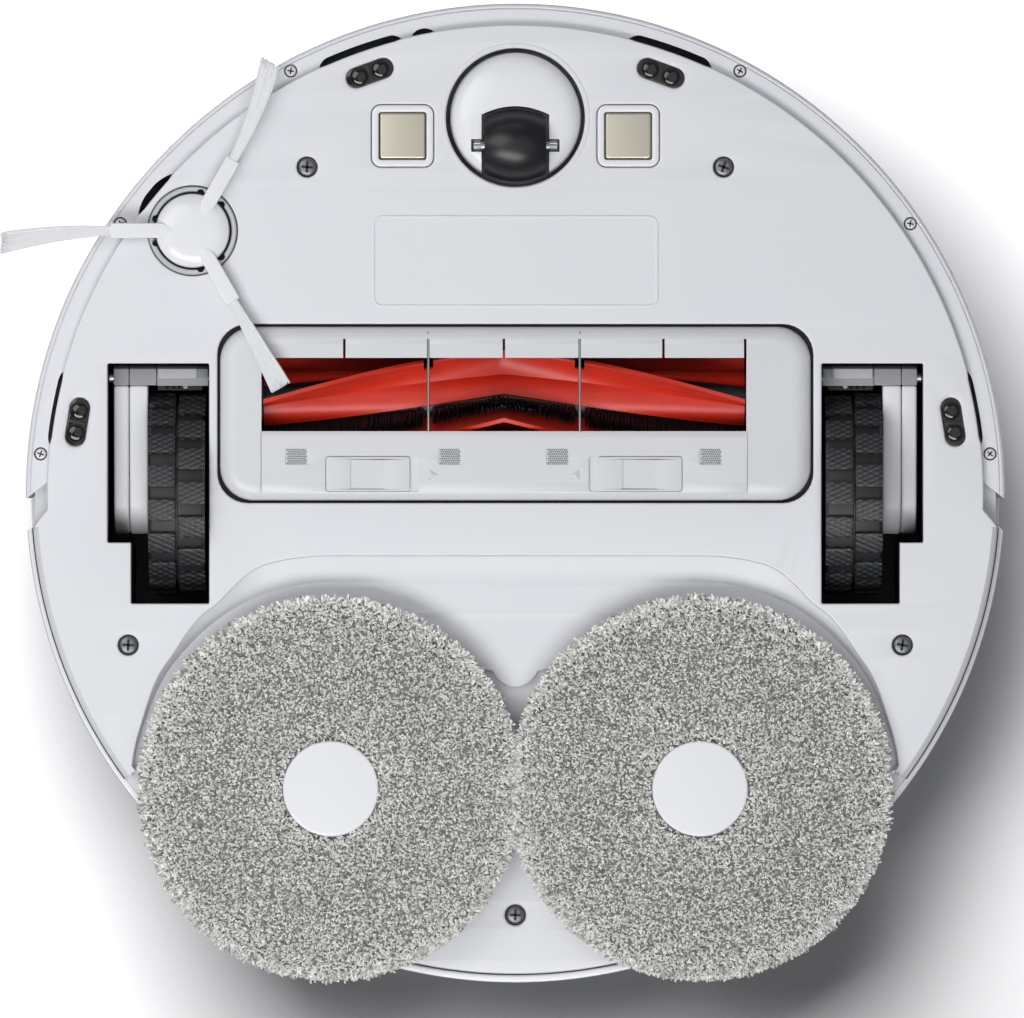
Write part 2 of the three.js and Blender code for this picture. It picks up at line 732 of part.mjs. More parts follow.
function brushRoller() {
  const core = rod(roller.drumRadius, roller.from, roller.to, 0, 0, 20);
  const fins = Array.from({ length: roller.fins }, (_, i) => rollerFin(i));
  const stub = rod(3, roller.from - 4.5, roller.from + 1, 0, 0, 12);
  const drive = block(roller.to - 1, roller.to + 4, -3.5, 3.5, -3.5, 3.5);
  const grooves = cover.guardX.map((x) => {
    const half = roller.grooveWidth / 2;
    return cut(
      rod(roller.radius + 1, x - half, x + half, 0, 0, 20),
      rod(roller.grooveRadius, x - half - 1, x + half + 1, 0, 0, 20),
    );
  });
  return cut(join(core, ...fins, stub, drive), ...grooves).translate([0, roller.y, roller.z]);
}

function rollerBearing() {
  const seat = block(-99, roller.from - 0.6, roller.y - 7, roller.y + 7, roller.z - 7, roller.z + 7);
  return cut(seat, rod(3 + gap, -97.5, roller.from, roller.y, roller.z, 12));
}

function brushHousing() {
  const wall = 1.2;
  const flangeZ = [13.6, 15.2];
  const chamber = { inner: 22.3, outer: 24, x0: -100, x1: 87.5 };
  const outline = roundedRect(-bay.halfX - wall, bay.halfX + wall, bay.front - wall, bay.rear + wall, bay.corner + wall);
  const flange = prism(outline, plateTop + gap, flangeZ[1], 2);
  const arch = rod(chamber.outer, chamber.x0 - 1.6, chamber.x1 + 1.6, roller.y, roller.z, 32);
  const below = block(-far, far, -far, far, -far, flangeZ[0] - 0.5);
  return cut(
    join(flange, cut(arch, below)),
    prism(bayOutline(0), 0, flangeZ[0], 2),
    rod(chamber.inner, chamber.x0, chamber.x1, roller.y, roller.z, 32),
    block(duct.x[0] - duct.wall - gap, duct.x[1] + duct.wall + gap, duct.y[0] - 4, far,
      duct.z[0] - duct.wall - gap, duct.z[1] + duct.wall + gap),
    rod(5, chamber.x1 - 1, far, roller.y, roller.z, 20),
  );
}

function suctionDuct() {
  const [x0, x1] = duct.x;
  const [z0, z1] = duct.z;
  const t = duct.wall;
  const tube = cut(
    block(x0 - t, x1 + t, ...duct.y, z0 - t, z1 + t),
    block(x0, x1, duct.y[0] - 1, duct.y[1] + 1, z0, z1),
  );
  return cut(tube, rod(22.3, -far, far, roller.y, roller.z, 32));
}

function latchSlot(side, clear) {
  const start = side < 0 ? latch.slotStart.right : latch.slotStart.left;
  const end = start - side * latch.slotLength;
  const half = latch.slotWidth / 2 - clear;
  return { x0: Math.min(start, end) + clear, x1: Math.max(start, end) - clear,
    y0: latch.middleY - half, y1: latch.middleY + half };
}

function brushCover() {
  const { inset, corner, bottomZ, plate, skirtZ, skirt, mouth, guardX, guardRadius } = cover;
  const inner = bayOutline(inset + skirt);
  const shell = cut(prism(bayOutline(inset), bottomZ, skirtZ, 3), prism(inner, bottomZ + plate, far, 3));
  const slots = [-1, 1].map((side) => latchSlot(side, 0));
  const open = cut(
    shell,
    block(mouth.x0, mouth.x1, mouth.y0, mouth.y1, 0, far),
    ...slots.map((s) => block(s.x0, s.x1, s.y0, s.y1, 0, bottomZ + plate + 1)),
  );
  const guards = guardX.map((x) =>
    drum(guardRadius, mouth.y0 - 1, mouth.y1 + 1, 0, 0, 8).rotate([90, 0, 0])
      .translate([x, mouth.y0 + mouth.y1, bottomZ + plate / 2]),
  );
  return join(open, ...guards);
}

function coverLatch(side) {
  const slot = latchSlot(side, gap);
  const x0 = side < 0 ? slot.x0 : slot.x1 - latch.length;
  const bottom = cover.bottomZ + 0.1;
  const slider = block(x0, x0 + latch.length, slot.y0, slot.y1, bottom, bottom + latch.thickness);
  const middle = x0 + latch.length / 2;
  const half = latch.recessLength / 2;
  return cut(slider, block(middle - half, middle + half, slot.y0 + 1, far, 0, bottom + latch.recessDepth));
}

// ---------------------------------------------------------------- spinning mops that lift

function mopPad(side) {
  return ring(mop.discRadius + gap, mop.padRadius, 0, mop.padThickness, mop.segments).translate([side * mop.x, mop.y, 0]);
}

function mopPlate(side) {
  const [low, high] = mop.plateZ;
  const top = mop.sleeveZ[1] - 1;
  const profile = [[0, 1.2], [mop.discRadius - 1.5, 1.2], [mop.discRadius, 2.7], [mop.discRadius, low],
    [mop.plateRadius, low], [mop.plateRadius, high], [mop.shaftRadius, high], [mop.shaftRadius, top], [0, top]];
  return turned(profile, 32).translate([side * mop.x, mop.y, 0]);
}

function mopSleeve(side) {
  return ring(mop.sleeveBore, mop.sleeveRadius, ...mop.sleeveZ, 24).translate([side * mop.x, mop.y, 0]);
}

function mopMotor(side) {
  const base = mop.bayZ + mop.bayWall + 0.5;
  const bore = mop.sleeveRadius + 0.5;
  const boreTop = mop.sleeveZ[1] + mop.lift + 1.5;
  const profile = [[bore, base], [24, base], [24, boreTop], [18, boreTop + 2], [18, 66], [0, 66], [0, boreTop],
    [bore, boreTop]];
  return turned(profile, 24).translate([side * mop.x, mop.y, 0]);
}

// ---------------------------------------------------------------- what the casing holds

function contactBlock(side, grow, z0, z1) {
  const half = contact.side / 2 + grow;
  const x = side * contact.x;
  return prism(roundedRect(x - half, x + half, contact.y - half, contact.y + half, contact.corner + grow), z0, z1, 2);
}

function dustBin() {
  const { halfX, front, rear, z, wall } = binSize;
  return cut(
    block(-halfX, halfX, front, rear, ...z),
    block(-halfX + wall, halfX - wall, front + wall, rear - wall, z[0] + wall, far),
    block(...duct.x, front - 1, front + wall + 1, ...duct.z),
    block(-40, 40, rear - wall - 1, rear + 1, 30, 62),
  );
}

const dustFilter = () => block(-39.6, 39.6, 41.5, 47.5, 30.4, 61.6);
const batteryPack = () => join(block(-66, 66, -104, -66, 14, 51), block(-20, 20, -106, -103, 30, 44));

function mainBoard() {
  const board = block(-60, 60, -104, -64, 56, 57.6);
  const chips = [
    block(-40, -22, -95, -77, 57.5, 60),
    block(-10, 2, -90, -80, 57.5, 59.5),
    block(15, 30, -96, -70, 57.5, 64),
    block(38, 52, -90, -76, 57.5, 61.5),
    block(-56, -46, -80, -66, 57.5, 63),
  ];
  return join(board, ...chips);
}

function fanUnit() {
  const profile = [[0, 20], [24, 20], [27, 24], [27, 44], [20, 48], [20, 58], [0, 58]];
  const scroll = turned(profile, 24).translate([0, 84, 0]);
  return join(scroll, block(-20, 20, 49.5, 62, 30, 48));
}

function brushGearmotor() {
  const gearCase = block(92, 105, -46, -20, 15.7, 73);
  const motor = rod(10, 40, 93, -33, 62, 24);
  const output = rod(4, roller.to + 4.6, 93, roller.y, roller.z, 16);
  return join(gearCase, motor, output);
}

function sideBrushMotor() {
  const gearCase = drum(12, plateTop + 4, 26, sweeper.x, sweeper.y, 20);
  const motor = drum(9, 25, 50, sweeper.x, sweeper.y, 20);
  return join(gearCase, motor).subtract(drum(4 + gap, 0, 16, sweeper.x, sweeper.y, 20));
}

const waterTank = () => prism(roundedRect(-40, 40, 116, 161, 6), 20, 44, 2);
const sideBrushCollar = () =>
  ring(sweeper.collarInner, sweeper.collarOuter, 7.8, plateTop, 24).translate([sweeper.x, sweeper.y, 0]);

// ---------------------------------------------------------------- laser turret and buttons

function lidarCage() {
  const { radius, baseZ, capZ, postRadius, post, spindleRadius } = turret;
  const base = cut(drum(radius, ...baseZ, 0, 0, 32), drum(spindleRadius + 0.7, 0, far, 0, 0, 20));
  const cap = turned([[0, capZ[0]], [radius, capZ[0]], [radius, capZ[1] - 1.5], [radius - 1.5, capZ[1]],
    [0, capZ[1]]], 32);
  const posts = [45, 135, 225, 315].map((degrees) => {
    const half = post / 2;
    return block(postRadius - half, postRadius + half, -2 * post, 2 * post, baseZ[1] - 0.5, capZ[0] + 0.5)
      .rotate([0, 0, degrees]);
  });
  return join(base, cap, ...posts).translate([0, turret.y, 0]);
}

function lidarRotor() {
  const { rotorRadius, baseZ, capZ, spindleRadius } = turret;
  const low = baseZ[1] + 0.6;
  const high = capZ[0] - 0.6;
  const head = drum(rotorRadius, low, high, 0, 0, 24);
  const spindle = drum(spindleRadius, 68, low + 1, 0, 0, 20);
  const lensFace = block(-13, 13, -far, -rotorRadius + 3, 0, far); // flat that the laser looks out of
  return cut(join(head, spindle), lensFace).translate([0, turret.y, 0]);
}

function pushButton(side) {
  const [low, high] = button.z;
  const profile = [[0, high], [button.radius - 0.6, high], [button.radius, high - 0.6], [button.radius, low], [0, low]];
  return turned(profile, 20).translate([side * button.x, button.y, 0]);
}

// ---------------------------------------------------------------- assembly

piece("chassis_base", chassisBase(), whiteAbs);
piece("top_shell", topShell(), whiteAbs);
piece("lid", lidPanel(), whiteAbs);
piece("exhaust_grille", exhaustGrille(), greyAbs);
piece("bumper", bumperShell(), whiteAbs);
piece("sensor_window", sensorWindow(), smokedLens);

for (const [side, name] of [[1, "left"], [-1, "right"]]) {
  piece(`wheel_housing_${name}`, wheelHousing(side), darkAbs);
  piece(`arm_housing_${name}`, armHousing(side), greyAbs);
  piece(`pivot_pin_${name}`, pivotPin(side), steel);
  piece(`suspension_spring_${name}`, torsionSpring(side), steel);
  piece(`tyre_${name}`, tyre(side), blackRubber);
  piece(`wheel_hub_${name}`, wheelHub(side), darkAbs);
  piece(`mop_pad_${name}`, mopPad(side), moppingCloth);
  piece(`mop_plate_${name}`, mopPlate(side), whiteAbs);
  piece(`mop_sleeve_${name}`, mopSleeve(side), greyAbs);
  piece(`mop_motor_${name}`, mopMotor(side), darkAbs);
  piece(`cover_latch_${name}`, coverLatch(side), greyAbs);
  piece(`charge_contact_${name}`, contactBlock(side, 0, ...contact.z), nickel);
}

for (const { name, at } of sensorPlaces) {
  const { length, width, z } = cliffSensor;
  piece(`cliff_sensor_${name}`, tangentCapsule(at, length, width, ...z), smokedLens);
}

piece("caster_fork", casterFork(), whiteAbs);
piece("caster_wheel", casterWheel(), blackRubber);
piece("caster_axle", rod(caster.axleRadius, -caster.axleHalf, caster.axleHalf, casterWheelY, caster.wheelRadius, 14), steel);

piece("side_brush_hub", sideBrushHub(), whiteAbs);
for (let i = 0; i < sweeper.arms; i++) piece(`bristle_tuft_${i + 1}`, bristleTuft(i), nylonBristle);
piece("side_brush_collar", sideBrushCollar(), greyAbs);
piece("side_brush_motor", sideBrushMotor(), darkAbs);

piece("brush_roller", brushRoller(), redTpu);
piece("roller_bearing", rollerBearing(), greyAbs);
piece("brush_housing", brushHousing(), greyAbs);
piece("suction_duct", suctionDuct(), darkAbs);
piece("brush_cover", brushCover(), greyAbs);
piece("brush_gearmotor", brushGearmotor(), darkAbs);

piece("dust_bin", dustBin(), clearTank);
piece("dust_filter", dustFilter(), filterPaper);
piece("battery_pack", batteryPack(), batteryWrap);
piece("main_board", mainBoard(), circuitGreen);
piece("fan_unit", fanUnit(), darkAbs);
piece("water_tank", waterTank(), clearTank);

piece("lidar_cage", lidarCage(), whiteAbs);
piece("lidar_rotor", lidarRotor(), darkAbs);
piece("power_button", pushButton(1), greyAbs);
piece("home_button", pushButton(-1), greyAbs);

export default machine;
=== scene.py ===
# Robot vacuum and mop: the looks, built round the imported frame. Sizes are in millimetres.
import math
import random

import bmesh
import bpy
from mathutils import Euler, Matrix, Vector


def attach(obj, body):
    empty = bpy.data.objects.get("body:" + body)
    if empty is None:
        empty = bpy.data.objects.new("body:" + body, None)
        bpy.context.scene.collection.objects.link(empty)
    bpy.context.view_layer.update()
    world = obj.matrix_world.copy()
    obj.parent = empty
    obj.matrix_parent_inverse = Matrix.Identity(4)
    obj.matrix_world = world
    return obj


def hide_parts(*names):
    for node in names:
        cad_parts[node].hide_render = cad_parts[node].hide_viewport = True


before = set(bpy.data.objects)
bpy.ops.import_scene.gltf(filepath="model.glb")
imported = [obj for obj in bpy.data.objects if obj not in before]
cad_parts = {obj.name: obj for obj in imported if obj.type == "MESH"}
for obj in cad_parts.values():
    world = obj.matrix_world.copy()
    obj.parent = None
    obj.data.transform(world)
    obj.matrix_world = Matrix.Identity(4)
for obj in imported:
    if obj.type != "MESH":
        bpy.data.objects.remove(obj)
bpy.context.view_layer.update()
mm = 0.001
sides = {"left": 1, "right": -1}
print("frame loaded:", len(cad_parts), "nodes")


# ---- tools for shapes

def link(obj):
    bpy.context.scene.collection.objects.link(obj)
    return obj


def sinDeg(degrees):
    return math.sin(math.radians(degrees))


def cosDeg(degrees):
    return math.cos(math.radians(degrees))


def bakedCopy(obj):
    # the shape with its modifiers worked out, as a plain mesh object that takes the old one's name
    depsgraph = bpy.context.evaluated_depsgraph_get()
    mesh = bpy.data.meshes.new_from_object(obj.evaluated_get(depsgraph), depsgraph=depsgraph)
    name = obj.name
    bpy.data.objects.remove(obj)
    made = link(bpy.data.objects.new(name, mesh))
    made.name = name
    return made


def smoothByAngle(obj, angle=32):
    mesh = obj.data
    mesh.polygons.foreach_set("use_smooth", [True] * len(mesh.polygons))
    mesh.set_sharp_from_angle(angle=math.radians(angle))
    # a wide level face keeps its own shading, apart from the rounded edge round it
    level = [abs(p.normal.z) > 0.9999 and p.area > 20 * mm * mm for p in mesh.polygons]
    if any(level):
        work = bmesh.new()
        work.from_mesh(mesh)
        for edge in work.edges:
            if len(edge.link_faces) == 2 and edge.calc_face_angle(0) > 0.03:
                if any(level[face.index] for face in edge.link_faces):
                    edge.smooth = False
        work.to_mesh(mesh)
        work.free()
    return obj


def paint(obj, material):
    obj.data.materials.clear()
    obj.data.materials.append(material)
    return obj


def solidFrom(name, points, faces, material=None, angle=32):
    # points in mm; doubles merged and faces turned outward
    mesh = bpy.data.meshes.new(name)
    mesh.from_pydata([(x * mm, y * mm, z * mm) for x, y, z in points], [], faces)
    work = bmesh.new()
    work.from_mesh(mesh)
    bmesh.ops.remove_doubles(work, verts=work.verts, dist=0.001 * mm)
    bmesh.ops.recalc_face_normals(work, faces=work.faces)
    work.to_mesh(mesh)
    work.free()
    obj = link(bpy.data.objects.new(name, mesh))
    if material:
        paint(obj, material)
    return smoothByAngle(obj, angle)


def skin(n, rings, loop=False):
    # faces over rings of n points each, capped at both ends or looped back to the first ring
    faces = [] if loop else [tuple(range(n)), tuple(range((rings - 1) * n, rings * n))]
    for k in range(rings if loop else rings - 1):
        m = (k + 1) % rings
        faces += [(k * n + i, k * n + (i + 1) % n, m * n + (i + 1) % n, m * n + i)
                  for i in range(n)]
    return faces


def rimBetween(name, outer, inner, rows, material, angle):
    # a moulded rim between two outlines; each row is how far from outer to inner, and its height
    points = [(*partWay(a, b, share), z) for share, z in rows for a, b in zip(outer, inner)]
    return solidFrom(name, points, skin(len(outer), len(rows), loop=True), material, angle)


def turned(name, profile, material, centre=(0, 0, 0), segments=96, axis="z", span=(0, 360),
           angle=32):
    # a closed [radius, height] profile turned about an axis through centre
    whole = span[1] - span[0] >= 360
    steps = segments if whole else segments + 1
    points, faces = [], []
    for i in range(steps):
        a = math.radians(span[0] + (span[1] - span[0]) * i / segments)
        for r, h in profile:
            if axis == "z":
                p = (r * math.cos(a), r * math.sin(a), h)
            else:
                p = (h, r * math.cos(a), r * math.sin(a))
            points.append([p[k] + centre[k] for k in range(3)])
    n = len(profile)
    for i in range(segments):
        j = (i + 1) % steps
        for k in range(n):
            m = (k + 1) % n
            faces.append((i * n + k, j * n + k, j * n + m, i * n + m))
    if not whole:
        faces += [tuple(range(n)), tuple(range((steps - 1) * n, steps * n))]
    return solidFrom(name, points, faces, material, angle)


def frange(a, b, step):
    # about this step, with both ends in
    count = max(1, round(abs(b - a) / step))
    return [a + (b - a) * i / count for i in range(count + 1)]


def partWay(a, b, share):
    return (a[0] + (b[0] - a[0]) * share, a[1] + (b[1] - a[1]) * share)


def arc(cx, cy, r, fromAngle, toAngle, steps=8):
    out = []
    for i in range(steps + 1):
        a = math.radians(fromAngle + (toAngle - fromAngle) * i / steps)
        out.append((cx + r * math.cos(a), cy + r * math.sin(a)))
    return out


def roundedRect(x0, x1, y0, y1, r, steps=8):
    return (arc(x1 - r, y1 - r, r, 0, 90, steps) + arc(x0 + r, y1 - r, r, 90, 180, steps)
            + arc(x0 + r, y0 + r, r, 180, 270, steps) + arc(x1 - r, y0 + r, r, 270, 360, steps))


def capsule(cx, cy, length, width, degrees, steps=12):
    reach, r = (length - width) / 2, width / 2
    t = math.radians(degrees)
    flat = arc(reach, 0, r, -90, 90, steps) + arc(-reach, 0, r, 90, 270, steps)
    return [(cx + x * math.cos(t) - y * math.sin(t), cy + x * math.sin(t) + y * math.cos(t))
            for x, y in flat]


def mirrored(points):
    return [(-x, y) for x, y in reversed(points)]


def plate(name, outlines, low, high, material, bevel=0.4, rounds=2, angle=32):
    # a flat plate with holes and softened edges; the first outline is the rim
    curve = bpy.data.curves.new(name, "CURVE")
    curve.dimensions, curve.fill_mode = "2D", "BOTH"
    for outline in outlines:
        spline = curve.splines.new("POLY")
        spline.points.add(len(outline) - 1)
        for point, (x, y) in zip(spline.points, outline):
            point.co = (x * mm, y * mm, 0, 1)
        spline.use_cyclic_u = True
    curve.extrude = ((high - low) / 2 - bevel) * mm
    curve.bevel_depth, curve.bevel_resolution = bevel * mm, rounds
    curve.offset = -bevel * mm
    obj = bakedCopy(link(bpy.data.objects.new(name, curve)))
    work = bmesh.new()
    work.from_mesh(obj.data)
    bmesh.ops.translate(work, verts=work.verts, vec=(0, 0, (low + high) / 2 * mm))
    bmesh.ops.remove_doubles(work, verts=work.verts, dist=0.002 * mm)
    bmesh.ops.recalc_face_normals(work, faces=work.faces)
    work.to_mesh(obj.data)
    work.free()
    paint(obj, material)
    return smoothByAngle(obj, angle)


def block(name, x, y, z, material, bevel=0.5, rounds=2, turn=None, about=(0, 0, 0)):
    # a box from its extents, with softened edges; turn is Euler degrees about a point
    work = bmesh.new()
    bmesh.ops.create_cube(work, size=1)
    for v in work.verts:
        v.co = Vector(((x[0] + x[1]) / 2 + v.co.x * (x[1] - x[0]),
                       (y[0] + y[1]) / 2 + v.co.y * (y[1] - y[0]),
                       (z[0] + z[1]) / 2 + v.co.z * (z[1] - z[0]))) * mm
    if bevel:
        bmesh.ops.bevel(work, geom=work.edges[:] + work.verts[:], offset=bevel * mm,
                        segments=rounds, profile=0.5, affect="EDGES", clamp_overlap=True)
    if turn:
        spot = Vector(about) * mm
        spin = Euler([math.radians(a) for a in turn]).to_matrix()
        bmesh.ops.rotate(work, verts=work.verts, cent=spot, matrix=spin)
    mesh = bpy.data.meshes.new(name)
    work.to_mesh(mesh)
    work.free()
    obj = link(bpy.data.objects.new(name, mesh))
    if material:
        paint(obj, material)
    return smoothByAngle(obj)


def cutAway(obj, *cutters):
    for cutter in cutters:
        mod = obj.modifiers.new("cut", "BOOLEAN")
        mod.operation, mod.solver, mod.object = "DIFFERENCE", "EXACT", cutter
    angle = obj.get("angle", 32)
    made = bakedCopy(obj)
    for cutter in cutters:
        bpy.data.objects.remove(cutter)
    return smoothByAngle(made, angle)


def softened(obj, width, rounds=2, angle=35):
    mod = obj.modifiers.new("soften", "BEVEL")
    mod.width, mod.segments, mod.limit_method = width * mm, rounds, "ANGLE"
    mod.angle_limit = math.radians(angle)
    mod.use_clamp_overlap = True
    return smoothByAngle(bakedCopy(obj), angle)


def evened(obj):
    # broad faces set the shading, so that a cut in a curved wall leaves no lighter patch round it
    mod = obj.modifiers.new("even", "WEIGHTED_NORMAL")
    mod.weight, mod.keep_sharp = 100, True
    return bakedCopy(obj)


def joined(name, parts):
    # several plain meshes as one object, each keeping its own finish
    work = bmesh.new()
    finishes = []
    for part in parts:
        for finish in part.data.materials:
            if finish not in finishes:
                finishes.append(finish)
    mesh = bpy.data.meshes.new(name)
    for part in parts:
        own = [finishes.index(finish) for finish in part.data.materials]
        first = len(work.faces)
        work.from_mesh(part.data)
        work.faces.ensure_lookup_table()
        for face in work.faces[first:]:
            face.material_index = own[face.material_index] if own else 0
        bpy.data.objects.remove(part)
    work.to_mesh(mesh)
    work.free()
    obj = link(bpy.data.objects.new(name, mesh))
    for finish in finishes:
        obj.data.materials.append(finish)
    return obj


def mount(obj, body, slotName, *nodes):
    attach(obj, body)
    if nodes:
        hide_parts(*nodes)
    return obj


def addNode(tree, kind, values=None, links=None, **settings):
    # one node with its settings, socket values and incoming links
    node = tree.nodes.new(kind)
    for key, value in settings.items():
        setattr(node, key, value)
    for key, value in (values or {}).items():
        node.inputs[key].default_value = value
    for key, source in (links or {}).items():
        tree.links.new(source, node.inputs[key])
    return node


def linear(code, alpha=1.0):
    # an sRGB hex colour as linear light
    out = []
    for i in (0, 2, 4):
        c = int(code.lstrip("#")[i:i + 2], 16) / 255
        out.append(c / 12.92 if c <= 0.04045 else ((c + 0.055) / 1.055) ** 2.4)
    return (*out, alpha)


# ---- Geometry Nodes trees that repeat small pieces

def repeatTree(label):
    # puts a copy of Piece on every vertex of the host, turned by its "turn" and sized by its "size"
    tree = bpy.data.node_groups.new(label, "GeometryNodeTree")
    face = tree.interface
    face.new_socket("Geometry", in_out="INPUT", socket_type="NodeSocketGeometry")
    face.new_socket("Piece", in_out="INPUT", socket_type="NodeSocketObject")
    face.new_socket("Finish", in_out="INPUT", socket_type="NodeSocketMaterial")
    face.new_socket("Geometry", in_out="OUTPUT", socket_type="NodeSocketGeometry")
    start = addNode(tree, "NodeGroupInput")
    info = addNode(tree, "GeometryNodeObjectInfo", links={"Object": start.outputs["Piece"]})
    turn = addNode(tree, "GeometryNodeInputNamedAttribute", {"Name": "turn"},
                   data_type="FLOAT_VECTOR")
    size = addNode(tree, "GeometryNodeInputNamedAttribute", {"Name": "size"},
                   data_type="FLOAT_VECTOR")
    shade = addNode(tree, "GeometryNodeInputNamedAttribute", {"Name": "shade"}, data_type="FLOAT")
    spin = addNode(tree, "FunctionNodeEulerToRotation", links={"Euler": turn.outputs["Attribute"]})
    copies = addNode(tree, "GeometryNodeInstanceOnPoints", links={
        "Points": start.outputs["Geometry"], "Instance": info.outputs["Geometry"],
        "Rotation": spin.outputs["Rotation"], "Scale": size.outputs["Attribute"]})
    keep = addNode(tree, "GeometryNodeStoreNamedAttribute", {"Name": "shade"}, data_type="FLOAT",
                   domain="INSTANCE",
                   links={"Geometry": copies.outputs["Instances"],
                          "Value": shade.outputs["Attribute"]})
    real = addNode(tree, "GeometryNodeRealizeInstances",
                   links={"Geometry": keep.outputs["Geometry"]})
    paintNode = addNode(tree, "GeometryNodeSetMaterial", links={
        "Geometry": real.outputs["Geometry"], "Material": start.outputs["Finish"]})
    addNode(tree, "NodeGroupOutput", links={"Geometry": paintNode.outputs["Geometry"]})
    return tree


def setInputs(mod, tree, values):
    # a modifier input is set by its socket's identifier
    sockets = {item.name: item.identifier
               for item in tree.interface.items_tree if item.in_out == "INPUT"}
    for label, value in values.items():
        mod[sockets[label]] = value


def repeated(name, piece, spots, material, tree, angle=32, keepPiece=False):
    # spots: (place in mm, turn in degrees, size, shade)
    mesh = bpy.data.meshes.new(name)
    mesh.from_pydata([tuple(c * mm for c in spot[0]) for spot in spots], [], [])
    turns = [math.radians(a) for _, turn, _, _ in spots for a in turn]
    grown = [a for _, _, size, _ in spots for a in size]
    shades = [shade for *_, shade in spots]
    for label, kind, field, values in (("turn", "FLOAT_VECTOR", "vector", turns),
                                       ("size", "FLOAT_VECTOR", "vector", grown),
                                       ("shade", "FLOAT", "value", shades)):
        mesh.attributes.new(label, kind, "POINT").data.foreach_set(field, values)
    host = link(bpy.data.objects.new(name, mesh))
    mod = host.modifiers.new("repeat", "NODES")
    mod.node_group = tree
    setInputs(mod, tree, {"Piece": piece, "Finish": material})
    made = bakedCopy(host)
    if not keepPiece:
        bpy.data.objects.remove(piece)
    if not made.data.materials:
        made.data.materials.append(material)
    return smoothByAngle(made, angle)


repeatSmall = repeatTree("repeat small pieces")


def spot(x, y, z, turn=(0, 0, 0), size=1.0, shade=0.5):
    return ((x, y, z), turn, (size, size, size), shade)


# ---- finishes

def newFinish(name, colour, roughness, metallic=0.0, ior=1.5, **extra):
    # a material whose plain values sit on the shader's own sockets
    finish = bpy.data.materials.new(name)
    finish.use_nodes = True
    tree = finish.node_tree
    shader = tree.nodes["Principled BSDF"]
    shader.inputs["Base Color"].default_value = linear(colour)
    shader.inputs["Roughness"].default_value = roughness
    shader.inputs["Metallic"].default_value = metallic
    if not metallic:
        shader.inputs["IOR"].default_value = ior
    for key, value in extra.items():
        shader.inputs[key].default_value = value
    return finish, tree, shader


def objectPlace(tree):
    return addNode(tree, "ShaderNodeTexCoord").outputs["Object"]


def mouldedAbs(name, colour, shadeColour, roughness, grain=0.5, depth=0.012, patch=60.0):
    # injection-moulded ABS: spark-eroded grain, drawn at 0.5 mm where the real one is nearer
    # 0.05 mm, and a very slight drift of tone and gloss over a hand's width
    finish, tree, shader = newFinish(name, colour, roughness, ior=1.54)
    place = objectPlace(tree)
    drift = addNode(tree, "ShaderNodeTexNoise", {"Scale": 1 / (patch * mm), "Detail": 2.0},
                    {"Vector": place})
    tone = addNode(tree, "ShaderNodeMix", links={"Factor": drift.outputs["Fac"]}, data_type="RGBA")
    tone.inputs["A"].default_value = linear(colour)
    tone.inputs["B"].default_value = linear(shadeColour)
    tree.links.new(tone.outputs["Result"], shader.inputs["Base Color"])
    gloss = addNode(tree, "ShaderNodeMapRange",
                    {"To Min": roughness - 0.04, "To Max": roughness + 0.05},
                    {"Value": drift.outputs["Fac"]})
    tree.links.new(gloss.outputs["Result"], shader.inputs["Roughness"])
    pits = addNode(tree, "ShaderNodeTexNoise", {"Scale": 1 / (grain * mm), "Detail": 1.0},
                   {"Vector": place})
    bump = addNode(tree, "ShaderNodeBump", {"Strength": 0.35, "Distance": depth * mm},
                   {"Height": pits.outputs["Fac"]})
    tree.links.new(bump.outputs["Normal"], shader.inputs["Normal"])
    return finish


waveStep = 0.314  # metres between two bands of a wave texture whose scale is 1


def knurledRubber():
    # tyre rubber: near black, slanted scales 1.6 mm apart pressed into the tread blocks; painted
    # highlight on the scale peaks
    finish, tree, shader = newFinish("tyre rubber, knurled", "#1D1E20", 0.46, ior=1.52)
    place = objectPlace(tree)
    bands = []
    for turn in (66, -66):
        lean = addNode(tree, "ShaderNodeMapping", {"Rotation": (0, 0, math.radians(turn))},
                       {"Vector": place})
        bands.append(addNode(tree, "ShaderNodeTexWave",
                             {"Scale": waveStep / (1.6 * mm), "Distortion": 0.0},
                             {"Vector": lean.outputs["Vector"]}, wave_profile="SAW",
                             bands_direction="X"))
    both = addNode(tree, "ShaderNodeMath",
                   links={0: bands[0].outputs["Fac"], 1: bands[1].outputs["Fac"]},
                   operation="MULTIPLY")
    bump = addNode(tree, "ShaderNodeBump", {"Strength": 1.0, "Distance": 0.45 * mm},
                   {"Height": both.outputs["Value"]})
    tree.links.new(bump.outputs["Normal"], shader.inputs["Normal"])
    # painted highlight: the colour grows lighter where each scale stands highest
    scaleHighlight = addNode(tree, "ShaderNodeMix", links={"Factor": both.outputs["Value"]}, data_type="RGBA")
    scaleHighlight.inputs["A"].default_value = linear("#0C0D0E")
    scaleHighlight.inputs["B"].default_value = linear("#54565A")
    tree.links.new(scaleHighlight.outputs["Result"], shader.inputs["Base Color"])
    return finish


